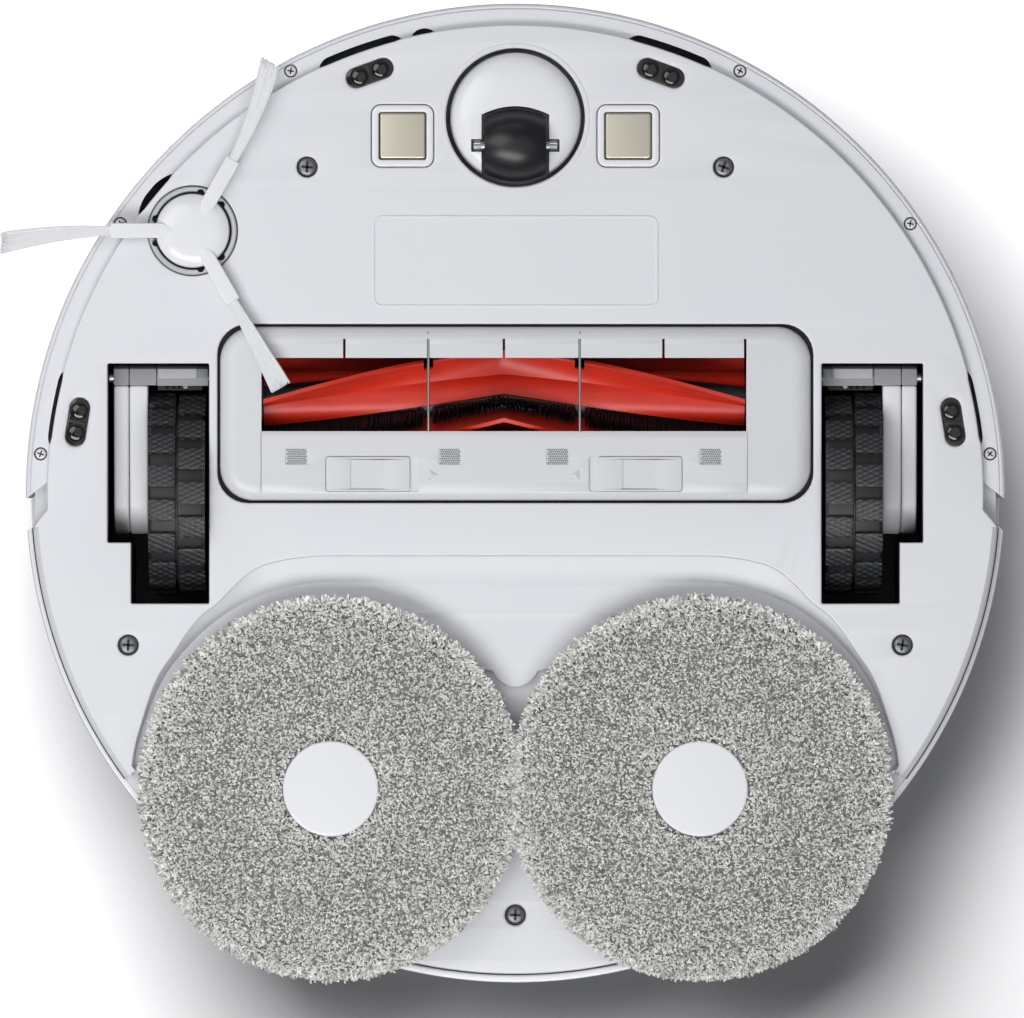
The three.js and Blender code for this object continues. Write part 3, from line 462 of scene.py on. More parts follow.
def mouldedElastomer():
    # red TPU, moulded and slightly translucent: satin, with flow marks along the blade
    finish, tree, shader = newFinish("red elastomer, moulded", "#D8301E", 0.36, ior=1.5)
    shader.inputs["Subsurface Weight"].default_value = 0.12
    shader.inputs["Subsurface Radius"].default_value = (0.004, 0.001, 0.0006)
    shader.inputs["Subsurface Scale"].default_value = 0.6
    place = objectPlace(tree)
    stretch = addNode(tree, "ShaderNodeMapping", {"Scale": (0.25, 1, 1)}, {"Vector": place})
    flow = addNode(tree, "ShaderNodeTexNoise", {"Scale": 1 / (6 * mm), "Detail": 3.0},
                   {"Vector": stretch.outputs["Vector"]})
    tone = addNode(tree, "ShaderNodeMix", links={"Factor": flow.outputs["Fac"]}, data_type="RGBA")
    tone.inputs["A"].default_value = linear("#E23A26")
    tone.inputs["B"].default_value = linear("#C42817")
    tree.links.new(tone.outputs["Result"], shader.inputs["Base Color"])
    bump = addNode(tree, "ShaderNodeBump", {"Strength": 0.25, "Distance": 0.2 * mm},
                   {"Height": flow.outputs["Fac"]})
    tree.links.new(bump.outputs["Normal"], shader.inputs["Normal"])
    return finish


def microfibrePile():
    # looped microfibre: warm grey yarn with pale loops and dark flecks, one shade to a tuft
    finish, tree, shader = newFinish("microfibre pile, looped", "#B9B7AF", 0.85, ior=1.5)
    shader.inputs["Sheen Weight"].default_value = 0.35
    shader.inputs["Sheen Roughness"].default_value = 0.5
    shade = addNode(tree, "ShaderNodeAttribute", attribute_name="shade")
    ramp = addNode(tree, "ShaderNodeValToRGB", links={"Fac": shade.outputs["Fac"]})
    stops = [(0.0, "#8F8E8A"), (0.1, "#B9B8B4"), (0.25, "#DEDDD8"), (0.5, "#F1F0EC"),
             (0.8, "#FBFAF7"), (1.0, "#FFFEFC")]
    while len(ramp.color_ramp.elements) < len(stops):
        ramp.color_ramp.elements.new(0.5)
    for element, (at, code) in zip(ramp.color_ramp.elements, stops):
        element.position, element.color = at, linear(code)
    tree.links.new(ramp.outputs["Color"], shader.inputs["Base Color"])
    place = objectPlace(tree)
    twist = addNode(tree, "ShaderNodeTexNoise", {"Scale": 1 / (0.4 * mm), "Detail": 1.0},
                    {"Vector": place})
    bump = addNode(tree, "ShaderNodeBump", {"Strength": 0.5, "Distance": 0.1 * mm},
                   {"Height": twist.outputs["Fac"]})
    tree.links.new(bump.outputs["Normal"], shader.inputs["Normal"])
    return finish


def knittedBacking():
    # the pad's knitted ground between the tufts, in 1.6 mm stitches: a warm grey painted dark as
    # the shade deep between the loops
    finish, tree, shader = newFinish("knitted pad ground", "#605F5D", 0.9)
    place = objectPlace(tree)
    stitch = addNode(tree, "ShaderNodeTexVoronoi", {"Scale": 1 / (1.6 * mm)}, {"Vector": place})
    # painted shade: darker towards each stitch's sunken edge
    tone = addNode(tree, "ShaderNodeMix", links={"Factor": stitch.outputs["Distance"]},
                   data_type="RGBA")
    tone.inputs["A"].default_value = linear("#949390")
    tone.inputs["B"].default_value = linear("#5C5B59")
    tree.links.new(tone.outputs["Result"], shader.inputs["Base Color"])
    bump = addNode(tree, "ShaderNodeBump", {"Strength": 0.8, "Distance": 0.5 * mm},
                   {"Height": stitch.outputs["Distance"]})
    bump.invert = True
    tree.links.new(bump.outputs["Normal"], shader.inputs["Normal"])
    return finish


def brushedPlate(name, colour, roughness, spacing=0.5, lean=0.0):
    # metal with fine lines from brushing or rolling, drawn at 0.5 mm so that they show
    finish, tree, shader = newFinish(name, colour, roughness, metallic=1.0)
    place = objectPlace(tree)
    along = addNode(tree, "ShaderNodeMapping",
                    {"Scale": (0.04, 1, 1), "Rotation": (0, 0, math.radians(lean))},
                    {"Vector": place})
    lines = addNode(tree, "ShaderNodeTexNoise", {"Scale": 1 / (spacing * mm), "Detail": 2.0},
                    {"Vector": along.outputs["Vector"]})
    spread = addNode(tree, "ShaderNodeMapRange",
                     {"To Min": roughness - 0.08, "To Max": roughness + 0.1},
                     {"Value": lines.outputs["Fac"]})
    tree.links.new(spread.outputs["Result"], shader.inputs["Roughness"])
    bump = addNode(tree, "ShaderNodeBump", {"Strength": 0.12, "Distance": 0.02 * mm},
                   {"Height": lines.outputs["Fac"]})
    tree.links.new(bump.outputs["Normal"], shader.inputs["Normal"])
    return finish


def polishedAcrylic():
    # smoked acrylic: near black and mirror smooth, with faint waviness from moulding
    finish, tree, shader = newFinish("smoked acrylic, polished", "#0A0A0C", 0.06, ior=1.49)
    shader.inputs["Coat Weight"].default_value = 0.6
    shader.inputs["Coat Roughness"].default_value = 0.03
    place = objectPlace(tree)
    wave = addNode(tree, "ShaderNodeTexNoise", {"Scale": 1 / (9 * mm), "Detail": 0.0},
                   {"Vector": place})
    bump = addNode(tree, "ShaderNodeBump", {"Strength": 0.1, "Distance": 0.1 * mm},
                   {"Height": wave.outputs["Fac"]})
    tree.links.new(bump.outputs["Normal"], shader.inputs["Normal"])
    return finish


def drawnNylon(name, colour, roughness=0.4, shadeBy=0.8):
    # nylon filament, drawn: faint tone change from hair to hair
    finish, tree, shader = newFinish(name, colour, roughness, ior=1.53)
    place = objectPlace(tree)
    vary = addNode(tree, "ShaderNodeTexNoise", {"Scale": 1 / (1.5 * mm)}, {"Vector": place})
    tone = addNode(tree, "ShaderNodeMix", links={"Factor": vary.outputs["Fac"]}, data_type="RGBA")
    base = linear(colour)
    tone.inputs["A"].default_value = base
    tone.inputs["B"].default_value = (*[c * shadeBy for c in base[:3]], 1)
    tree.links.new(tone.outputs["Result"], shader.inputs["Base Color"])
    return finish


def pleatedPaper():
    # filter paper in folds 5 mm apart, with painted shade in the fold valleys and lighter crests
    finish, tree, shader = newFinish("pleated filter paper", "#E9E7DF", 0.95)
    place = objectPlace(tree)
    folds = addNode(tree, "ShaderNodeTexWave", {"Scale": waveStep / (5 * mm)}, {"Vector": place},
                    bands_direction="X")
    # painted shade: the tone follows the fold height, darker where the folds dip
    tone = addNode(tree, "ShaderNodeMix", links={"Factor": folds.outputs["Fac"]}, data_type="RGBA")
    tone.inputs["A"].default_value = linear("#C9C6BC")
    tone.inputs["B"].default_value = linear("#F2F0EA")
    tree.links.new(tone.outputs["Result"], shader.inputs["Base Color"])
    bump = addNode(tree, "ShaderNodeBump", {"Strength": 0.9, "Distance": 0.8 * mm},
                   {"Height": folds.outputs["Fac"]})
    tree.links.new(bump.outputs["Normal"], shader.inputs["Normal"])
    return finish


def etchedBoard():
    # glass-epoxy board: green lacquer over 1.2 mm copper tracks
    finish, tree, shader = newFinish("circuit board, lacquered", "#1E5B3A", 0.35, ior=1.55)
    place = objectPlace(tree)
    tracks = addNode(tree, "ShaderNodeTexBrick", {"Scale": 1 / (12 * mm), "Mortar Size": 0.08},
                     {"Vector": place})
    for label, code in (("Color1", "#1E5B3A"), ("Color2", "#236844"), ("Mortar", "#3C8A5E")):
        tracks.inputs[label].default_value = linear(code)
    tree.links.new(tracks.outputs["Color"], shader.inputs["Base Color"])
    bump = addNode(tree, "ShaderNodeBump", {"Strength": 0.2, "Distance": 0.05 * mm},
                   {"Height": tracks.outputs["Fac"]})
    tree.links.new(bump.outputs["Normal"], shader.inputs["Normal"])
    return finish


whiteAbs = mouldedAbs("white ABS, fine grain", "#E9EAEE", "#E4E5EA", 0.36)
glossWhite = mouldedAbs("white ABS, polished", "#F1F2F5", "#EEEFF3", 0.2, depth=0.004)
greyAbs = mouldedAbs("light grey ABS, satin", "#C3C4C8", "#BBBCC1", 0.38)
coverAbs = mouldedAbs("pale grey ABS, brush cover", "#E0E1E4", "#DADBDF", 0.34)
gearAbs = mouldedAbs("light grey ABS, gearbox", "#F0F1F3", "#E8E9EC", 0.33)
blackAbs = mouldedAbs("black ABS, textured", "#121316", "#17181B", 0.5)
blackNylon = mouldedAbs("black nylon, moulded", "#17181B", "#101114", 0.32, grain=0.8)
tyreRubber = knurledRubber()
tyreBase = mouldedAbs("tyre rubber, smooth", "#1E1F21", "#18191B", 0.5, grain=0.8)
housingAbs = mouldedAbs("charcoal ABS, wheel housing", "#4C4D52", "#434449", 0.45)
# a darker copy of the white ABS for the belly's rounded rim: painted shade on the bevel band
rimShadeAbs = mouldedAbs("white ABS, drawn rim", "#D8D9DC", "#D2D3D7", 0.36)
# a darker grey for the pivot block: painted shade for its place deep in the wheel well
blockShadeGrey = mouldedAbs("mid grey ABS, pivot block", "#A3A4A8", "#999A9E", 0.4)
gripGrey = mouldedAbs("grey ABS, grip dots", "#8F9195", "#85878B", 0.4)
redElastomer = mouldedElastomer()
mopPile = microfibrePile()
mopGround = knittedBacking()
nickelPlate = brushedPlate("nickel plate, rolled", "#D3CEBE", 0.36, spacing=0.22, lean=90)
screwSteel = brushedPlate("black zinc steel, rolled", "#85878C", 0.4)
brightSteel = brushedPlate("stainless steel, ground", "#B9BBBF", 0.3)
smokedAcrylic = polishedAcrylic()
whiteFilament = drawnNylon("white nylon filament", "#F3F4F6", shadeBy=0.93)
blackFilament = drawnNylon("black nylon filament", "#141518", 0.5)
ringSilver = mouldedAbs("satin silver lacquer", "#C6C8CB", "#BEC0C4", 0.26, depth=0.003)
screwWhite = mouldedAbs("white lacquered steel", "#E6E7EA", "#DDDEE2", 0.3, depth=0.004)
binPlastic = mouldedAbs("smoked polycarbonate, moulded", "#5A5D63", "#505359", 0.18, depth=0.003)
batteryWrap = mouldedAbs("shrink film, blue", "#24476E", "#1F3F63", 0.3, grain=2.0, depth=0.05)
filterPaper = pleatedPaper()
circuitBoard = etchedBoard()
print("finishes made")


# ---- camera, light and stage

studio = {
    "frameWidth": 366.1,  # what the view takes in, at the level of the body's widest ring
    "level": 13.0,
    "centre": (-1.2, 5.7),
    "lens": 500.0,
    "floorRadius": 4000, "floorZ": -0.4,
    "backdropRadius": 620, "backdropZ": 101.0,
    "backdropKey": (-0.305, -0.505, -1.5), "backdropKeySize": 0.95, "backdropPower": 100,
    "sky": 0.22,
    # name, place in metres, width, height, watts
    "lights": [
        ("key below", (-0.6, -0.42, -0.95), 0.7, 0.7, 3.4),
        ("fill below", (0.25, -0.1, -1.5), 1.3, 1.3, 2.3),
        ("front strip below", (-0.2, -1.25, -0.5), 1.2, 0.3, 0.6),
        ("rear strip below", (-0.3, 0.85, -1.35), 1.5, 0.6, 15.9),
        ("key above", (-0.9, -1.0, 1.5), 0.8, 0.8, 12),
        ("fill above", (1.1, -0.6, 1.2), 1.2, 1.2, 6),
        ("back above", (0.2, 1.4, 1.1), 1.2, 1.2, 6),
    ],
}


def setCamera():
    camera = bpy.data.cameras.new("camera")
    camera.lens, camera.sensor_width = studio["lens"], 36.0
    reach = studio["frameWidth"] * studio["lens"] / 36.0
    obj = link(bpy.data.objects.new("camera", camera))
    x, y = studio["centre"]
    obj.location = (x * mm, y * mm, (studio["level"] - reach) * mm)
    obj.rotation_euler = (math.pi, 0, 0)
    camera.clip_end = 50
    bpy.context.scene.camera = obj


def areaLight(name, place, aim, width, power, lit, height=None):
    # lit is the collection that the light falls on
    light = bpy.data.lights.new(name, "AREA")
    light.shape, light.size, light.size_y = "RECTANGLE", width, height or width
    light.energy = power
    obj = link(bpy.data.objects.new(name, light))
    obj.location = place
    obj.rotation_euler = (Vector(aim) - Vector(place)).to_track_quat("-Z", "Y").to_euler()
    obj.light_linking.receiver_collection = lit
    return obj


def oneSidedSheet(name, radius, z, lookUp, colour, glow):
    # a pale sheet seen from one side only, so it is a floor from above or a backdrop from below
    steps = 96
    turns = [2 * math.pi * i / steps for i in range(steps)]
    ring = [(radius * math.cos(a) * mm, radius * math.sin(a) * mm, z * mm) for a in turns]
    mesh = bpy.data.meshes.new(name)
    mesh.from_pydata(ring, [], [list(range(steps))[::1 if lookUp else -1]])
    sheet = link(bpy.data.objects.new(name, mesh))
    finish = bpy.data.materials.new(name)
    finish.use_nodes = True
    tree = finish.node_tree
    shader = tree.nodes["Principled BSDF"]
    shader.inputs["Base Color"].default_value = linear(colour)
    shader.inputs["Roughness"].default_value = 0.9
    shader.inputs["Emission Color"].default_value = (1, 1, 1, 1)
    shader.inputs["Emission Strength"].default_value = glow
    side = addNode(tree, "ShaderNodeNewGeometry")
    clear = addNode(tree, "ShaderNodeBsdfTransparent")
    mix = addNode(tree, "ShaderNodeMixShader",
                  links={0: side.outputs["Backfacing"], 1: shader.outputs["BSDF"],
                                                      2: clear.outputs["BSDF"]})
    tree.links.new(mix.outputs["Shader"], tree.nodes["Material Output"].inputs["Surface"])
    mesh.materials.append(finish)
    for ray in ("diffuse", "glossy", "transmission", "shadow", "volume_scatter"):
        setattr(sheet, "visible_" + ray, False)
    return sheet


def setStudio():
    setCamera()
    oneSidedSheet("floor", studio["floorRadius"], studio["floorZ"], True, "#E9EAEC", 0.05)
    backdrop = oneSidedSheet("backdrop", studio["backdropRadius"], studio["backdropZ"], False,
                             "#A0A0A1", 0.0)
    # the backdrop has a light of its own, so its shadow is soft and the machine keeps an even light
    onlyBackdrop = bpy.data.collections.new("lit backdrop")
    onlyBackdrop.objects.link(backdrop)
    allButBackdrop = bpy.data.collections.new("lit machine")
    allButBackdrop.objects.link(backdrop)
    allButBackdrop.collection_objects[0].light_linking.link_state = "EXCLUDE"
    centre = (0, 0, 0.02)
    areaLight("backdrop key", studio["backdropKey"], (0, 0, 0.05), studio["backdropKeySize"],
              studio["backdropPower"], onlyBackdrop)
    for name, place, width, height, power in studio["lights"]:
        areaLight(name, place, centre, width, power, allButBackdrop, height=height)
    world = bpy.data.worlds.new("studio")
    world.use_nodes = True
    sky = world.node_tree.nodes["Background"]
    sky.inputs["Color"].default_value = linear("#F4F6FA")
    sky.inputs["Strength"].default_value = studio["sky"]
    bpy.context.scene.world = world
    bpy.context.scene.view_settings.view_transform = "Standard"
    print("studio set")


setStudio()


# ---- belly plate

belly = {
    "low": 9.0, "high": 11.5, "bevel": 0.7,
    "frontRadius": 167.3, "rearRadius": 170.8, "rimRadius": 172.8, "ceilingRadius": 172.1,
    "stepY": (5.9, 12.5),  # where the edge steps out behind the bumper, on a slant
    # dark gaps at the edge: from and to in degrees from the front, how far in, how far out
    "slots": [(10.0, 12.8, 0.0, 2.0, "right"), (14.0, 24.8, 0.3, 2.3, "both"),
              (47.0, 53.6, 0.4, 2.4, "right"), (74.9, 84.1, 0.5, 1.0, "both")],
}
well = {"inner": 109.4, "step": 137.3, "outer": 145.7, "front": -46.3, "rear": 39.5, "stepY": 17.7}
mop = {
    "x": 65.9, "y": 105.5,
    # radius of the bay's edge round a pad, by degrees from straight ahead
    "slopeTop": [(0, 83.0), (16, 83.2), (34, 77.2), (52, 73.8), (72, 71.5), (150, 71.5)],
    "slopeFoot": [(0, 73.5), (20, 73.0), (50, 71.8), (72, 70.7), (150, 70.7)],
    "shallowZ": 13.2, "ceilingZ": 15.5,
}
bay = {"x": 106.5, "front": -60.4, "rear": 3.6, "corner": 11.0}


def polar(r, degrees):
    # degrees from the front (-Y), positive towards +X
    a = math.radians(degrees)
    return (r * math.sin(a), -r * math.cos(a))


def edgeSlots():
    for a0, a1, inward, outward, where in belly["slots"]:
        if where in ("both", "left"):
            yield a0, a1, inward, outward
        if where in ("both", "right"):
            yield -a1, -a0, inward, outward


def between(line, at):
    # a smooth curve through the listed (place, value) pairs
    for (a, low), (b, high) in zip(line, line[1:]):
        if at <= b:
            t = (at - a) / (b - a)
            return low + (high - low) * t * t * (3 - 2 * t)
    return line[-1][1]


def recessEdge(side, foot):
    # the edge of the mop bay round one pad, from the body's rim to the middle line
    line = mop["slopeFoot"] if foot else mop["slopeTop"]
    rim = belly["rearRadius"] - (0.3 if foot else belly["bevel"])
    points = []
    for phi in frange(150, 0, 150 / 180):  # 0 is straight to the front of the pad
        r = between(line, abs(phi))
        x = side * (mop["x"] + r * sinDeg(phi))
        y = mop["y"] - r * cosDeg(phi)
        if math.hypot(x, y) < rim:
            points.append((x, y))
    return points


def bellyOutline():
    points = []
    left = recessEdge(1, False)
    start = math.degrees(math.atan2(left[0][0], -left[0][1]))
    y0, y1 = belly["stepY"]
    frontEnd = math.degrees(math.acos(-y0 / belly["frontRadius"]))
    rearEnd = math.degrees(math.acos(-y1 / belly["rearRadius"]))
    for a in frange(start, rearEnd, 1.0):
        points.append(polar(belly["rearRadius"], a))
    spur = math.degrees(math.acos(-(y1 - 0.2) / belly["rimRadius"]))
    points.append(polar(belly["rimRadius"], spur))
    for a in frange(frontEnd, -frontEnd, 0.5):
        depth = 0.0
        for a0, a1, inward, _ in edgeSlots():
            inside = min(a - a0, a1 - a)
            depth = max(depth, 0.0 if inside <= 0 else inward * min(1.0, inside / 1.0))
        points.append(polar(belly["frontRadius"] - depth, a))
    points.append(polar(belly["rimRadius"], -spur))
    for a in frange(-rearEnd, -start, 1.0):
        points.append(polar(belly["rearRadius"], a))
    right = recessEdge(-1, False)
    return points + right + list(reversed(left))


def wellOutline(side, grow=0.0):
    inner, step, outer = well["inner"] - grow, well["step"] + grow, well["outer"] + grow
    front, rear, stepY = well["front"] - grow, well["rear"] + grow, well["stepY"] + grow
    r = 0.6
    points = (arc(outer - r, front + r, r, -90, 0, 3) + arc(outer - r, stepY - r, r, 0, 90, 3)
              + [(step, stepY)] + arc(step - r, rear - r, r, 0, 90, 3)
              + arc(inner + r, rear - r, r, 90, 180, 3)
              + arc(inner + r, front + r, r, 180, 270, 3))
    return points if side > 0 else mirrored(points)


sensor = {"front": (52.0, -150.1, 20.0), "side": (156.4, -25.4, 81.0), "length": 17.5, "width": 7.2,
          "lens": 7.9}
contact = {"x": 40.3, "y": -127.6, "frame": 22.6, "frameCorner": 3.6, "side": 16.2}
caster = {"y": -134.2, "cup": 24.9, "axleY": -124.2, "axleZ": 12.85,
          "wheelRadius": 12.85, "wheelEdge": 9.9, "wheelHalf": 11.0}
sweeper = {"x": -115.3, "y": -93.7, "collar": 15.8}


screws = {
    # x, y, turn of the cross, level of the surface they sit in
    "chassis": [(74.4, -116.5, 20, 9.0), (-74.4, -116.5, 5, 9.0), (138.3, 54.3, 10, 9.0),
                (-138.3, 54.3, 3, 9.0), (0, 150.9, 2, 15.5)],
    "bumper": [(80.3, -150.9, 30), (-80.3, -150.9, 10), (141.2, -96.3, 12), (-141.2, -96.3, 70),
               (169.7, -14.0, 40), (-169.7, -14.0, 20)],
    "head": 3.3, "hole": 3.75, "bumperHead": 1.95, "bumperHole": 2.4,
}


def sensorPlaces():
    for side, sign in sides.items():
        for where in ("front", "side"):
            x, y, tilt = sensor[where]
            yield f"{where}_{side}", sign * x, y, sign * tilt


def makeBelly():
    holes = [roundedRect(-bay["x"], bay["x"], bay["front"], bay["rear"], bay["corner"])]
    holes += [wellOutline(sign) for sign in sides.values()]
    holes.append(arc(0, caster["y"], caster["cup"] + 1.0, 0, 357, 119))
    holes.append(arc(sweeper["x"], sweeper["y"], sweeper["collar"] + 0.3, 0, 355, 71))
    half = contact["frame"] / 2
    for sign in sides.values():
        x, y = sign * contact["x"], contact["y"]
        holes.append(roundedRect(x - half, x + half, y - half, y + half, contact["frameCorner"]))
    for _, x, y, tilt in sensorPlaces():
        holes.append(capsule(x, y, sensor["length"] + 1.4, sensor["width"] + 1.4, tilt))
    holes += [arc(x, y, screws["hole"], 0, 352.5, 47)
              for x, y, _, level in screws["chassis"] if level < 12]
    return plate("belly_plate", [bellyOutline()] + holes, belly["low"], belly["high"], whiteAbs,
                 belly["bevel"], 3)


def makeRecess():
    # the sloped wall from the belly down into the mop bay, and the bay's two levels
    parts = []
    top = recessEdge(-1, False) + list(reversed(recessEdge(1, False)))
    foot = recessEdge(-1, True) + list(reversed(recessEdge(1, True)))

    def even(points, count):
        lengths = [0.0]
        for a, b in zip(points, points[1:]):
            lengths.append(lengths[-1] + math.dist(a, b))
        out, k = [], 0
        for i in range(count):
            want = lengths[-1] * i / (count - 1)
            while k < len(points) - 2 and lengths[k + 1] < want:
                k += 1
            t = (want - lengths[k]) / max(1e-9, lengths[k + 1] - lengths[k])
            out.append(partWay(points[k], points[k + 1], t))
        return out

    count = 360
    top, foot = even(top, count), even(foot, count)
    levels = [(0.0, belly["low"] + 0.05), (0.06, belly["low"] + 0.35), (0.5, 11.0), (0.92, 12.9),
              (1.0, mop["shallowZ"] + 0.2)]
    levels += [(1.0, mop["ceilingZ"] + 1.0), (0.0, mop["ceilingZ"] + 1.0)]
    points = [(*partWay(a, b, share), z) for share, z in levels for a, b in zip(top, foot)]
    faces = []
    n = len(levels)
    for i in range(count - 1):
        for k in range(n):
            m = (k + 1) % n
            faces.append((k * count + i, k * count + i + 1, m * count + i + 1, m * count + i))
    faces += [tuple(k * count for k in range(n)), tuple(k * count + count - 1 for k in range(n))]
    parts.append(solidFrom("mop_bay_slope", points, faces, whiteAbs, 40))
    # the deep ceiling behind the pads
    rim = belly["ceilingRadius"]
    deep = recessEdge(1, True)
    start = math.degrees(math.atan2(deep[0][0], -deep[0][1]))
    edge = [polar(rim, a) for a in frange(start, 360 - start, 1.0)]
    outline = edge + recessEdge(-1, True) + list(reversed(deep))
    sleeves = [arc(sign * mop["x"], mop["y"], 12.0, 0, 350, 35) for sign in sides.values()]
    sleeves += [arc(x, y, screws["hole"], 0, 352.5, 47)
                for x, y, _, level in screws["chassis"] if level > 12]
    parts.append(plate("mop_bay_ceiling", [outline] + sleeves, mop["ceilingZ"], 17.5, whiteAbs, 1.1,
                       3))
    # the shallow floor between the slope and the pads, with a tongue in the middle
    r, tipY, rim = 62.0, 69.4, belly["rearRadius"] - 0.5
    tongue, outer = [], []
    for phi in frange(150, -46, 1.5):
        x, y = mop["x"] + r * sinDeg(phi), mop["y"] - r * cosDeg(phi)
        if math.hypot(x, y) < rim and x > 8.0 and (phi > 0 or y < tipY - 8):
            tongue.append((x, y))
    grow = 1.0
    for x, y in recessEdge(1, True):
        dx, dy = x - mop["x"], y - mop["y"]
        size = (math.hypot(dx, dy) + grow) / math.hypot(dx, dy)
        x, y = mop["x"] + dx * size, mop["y"] + dy * size
        if math.hypot(x, y) < rim:
            outer.append((x, y))
    tip = arc(0, tipY - 8.6, 8.6, 20, 160, 12)
    outline = tongue + tip + mirrored(tongue) + [(-x, y) for x, y in outer] + list(reversed(outer))
    parts.append(plate("mop_bay_tongue", [outline], mop["shallowZ"], mop["ceilingZ"] + 0.2,
                       whiteAbs, 0.5, 2))
    return parts


def makeRim():
    # the belly's rounded edge behind the bumper in painted shade, and a black band in the gap
    # between it and the casing, a painted shadow line
    low, r = belly["low"], belly["rimRadius"]
    edge = recessEdge(1, False)[0]
    start = math.degrees(math.atan2(edge[0], -edge[1]))
    stop = math.degrees(math.acos(-(belly["stepY"][1] + 0.1) / r))
    flat = [(168.2, low - 0.01), (r - 2.0, low - 0.01), (r - 2.0, low + 2.6), (168.2, low + 2.6)]
    profile = [(r - 2.0, low - 0.01), (r - 1.8, low + 0.05), (r - 0.5, low + 1.0),
               (r - 0.12, low + 1.4), (r, low + 1.9), (r, low + 2.6), (r - 2.0, low + 2.6)]
    # painted shadow: a black band where the gap between belly and casing falls in shade
    seal = [(170.5, low + 2.6), (r + 0.42, low + 2.6), (r + 0.42, low + 5.1), (170.5, low + 5.1)]
    corner = [(167.5, 12.0), (172.45, 12.0), (172.45, 15.6), (167.5, 15.6)]
    parts = []
    for a0, a1, side in ((stop, start, 1), (-start, -stop, -1)):
        parts.append(turned("belly_rim", flat, whiteAbs, segments=64, span=(a0 - 90, a1 - 90)))
        parts.append(turned("belly_rim", profile, rimShadeAbs, segments=64, span=(a0 - 90, a1 - 90),
                            angle=34))
        parts.append(turned("seal", seal, blackAbs, segments=64, span=(a0 - 90, a1 - 90)))
        b0, b1 = sorted((side * (start - 0.6), side * (start + 3.4)))
        parts.append(turned("rim_corner", corner, whiteAbs, segments=12, span=(b0 - 90, b1 - 90)))
    return parts


def makeCupAndWalls():
    parts = []
    r, y = caster["cup"], caster["y"]
    profile = [(r, 9.15), (r + 0.5, 8.75), (r + 1.5, 8.75), (r + 1.9, 9.2), (r + 1.9, 35),
               (5.3 + 2, 35), (5.3 + 2, 47), (5.3, 47), (5.3, 33), (r, 33)]
    parts.append(turned("caster_cup", profile, whiteAbs, (0, y, 0), 144))
    # the inner front wall that the bumper presses towards
    wall = [(157.5, 11.0), (159.5, 11.0), (159.5, 66), (157.5, 66)]
    ends = math.degrees(math.acos(6 / 159.5))
    for a0, a1 in ((-ends, -50.2), (-45, -9.5), (9.5, ends)):
        parts.append(turned("front_wall", wall, whiteAbs, segments=60, span=(a0 - 90, a1 - 90)))
    tube = [(12.6, 15.0), (13.9, 15.0), (13.9, 53.3), (0.01, 53.3), (0.01, 52), (12.6, 52)]
    parts.append(turned("side_brush_pocket", tube, whiteAbs, (sweeper["x"], sweeper["y"], 0), 48))
    for sign in sides.values():
        xs = sorted((sign * 157.0, sign * 166.3))
        parts.append(block("notch_wall", xs, (4.6, 6.6), (11.2, 66), whiteAbs, 0.4))
    return parts


chassis = joined("chassis_shell", [makeBelly()] + makeRim() + makeRecess() + makeCupAndWalls())
smoothByAngle(chassis, 34)
mount(chassis, "chassis", "white_abs", "chassis_base")
print("chassis made")


# ---- bumper

bumper = {
    "low": 12.0, "top": 68.0, "outer": 175.0, "inner": 172.3, "flange": 165.5, "flangeTop": 13.7,
    "endY": 1.8, "flangeEndY": -4.3, "window": (42, 28, 56),
}


def makeBumper():
    out, low, top = bumper["outer"], bumper["low"], bumper["top"]
    inn, fl = bumper["inner"], bumper["flange"]
    profile = [(fl, low), (172.9, low), (173.05, low + 0.15), (173.1, low + 0.75),
               (173.4, low + 0.75), (173.45, low + 0.15)]
    profile += [(out - 1.4 + 1.4 * sinDeg(a), low + 1.4 - 1.4 * cosDeg(a))
                for a in (8, 20, 35, 50, 65, 90)]
    profile += [(out - 1.5 + 1.5 * cosDeg(a), top - 1.5 + 1.5 * sinDeg(a))
                for a in (0, 20, 40, 60, 80, 90)]
    profile += [(inn, top), (inn, bumper["flangeTop"]), (fl, bumper["flangeTop"])]
    reach = 92.0
    shell = turned("bumper_shell", profile, whiteAbs, segments=320, span=(-90 - reach, -90 + reach))
    shell["angle"] = 34
    far, cutters = 260, []
    for sign in sides.values():
        line = [(0, bumper["flangeEndY"]), (fl + 1.2, bumper["flangeEndY"]),
                (out - 0.4, bumper["endY"]), (far, bumper["endY"]), (far, far), (0, far)]
        line = line if sign > 0 else mirrored(line)
        points = [(x, y, z) for z in (0, 90) for x, y in line]
        cutters.append(solidFrom("trim", points, skin(len(line), 2)))
    half, z0, z1 = bumper["window"]
    cutters.append(block("trim", (-half, half), (-200, -100), (z0, z1), None, 1.5))
    for a0, a1, _, outward in edgeSlots():
        # a lens-shaped slot: full depth in the middle, tapering at both ends
        steep = 3.2 if a1 - a0 > 8 else 1.1
        outer = [polar(167.3 + outward * min(1.0, steep * math.sin(math.pi * k / 24)) ** 0.7,
                       a0 + (a1 - a0) * k / 24)
                 for k in range(25)]
        inner = [polar(163.5, a1 + (a0 - a1) * k / 24) for k in range(25)]
        cutters.append(plate("trim", [outer + inner], 10.0, 15.0, None, 0.01, 0))
    for x, y, _ in screws["bumper"]:
        hole = [(0.01, low - 2), (screws["bumperHole"], low - 2), (screws["bumperHole"], low + 1.2),
                (0.01, low + 1.2)]
        cutters.append(turned("trim", hole, None, (x, y, 0), 32))
    shell = cutAway(shell, *cutters)
    return evened(smoothByAngle(softened(shell, 0.2, 2, 50), 34))


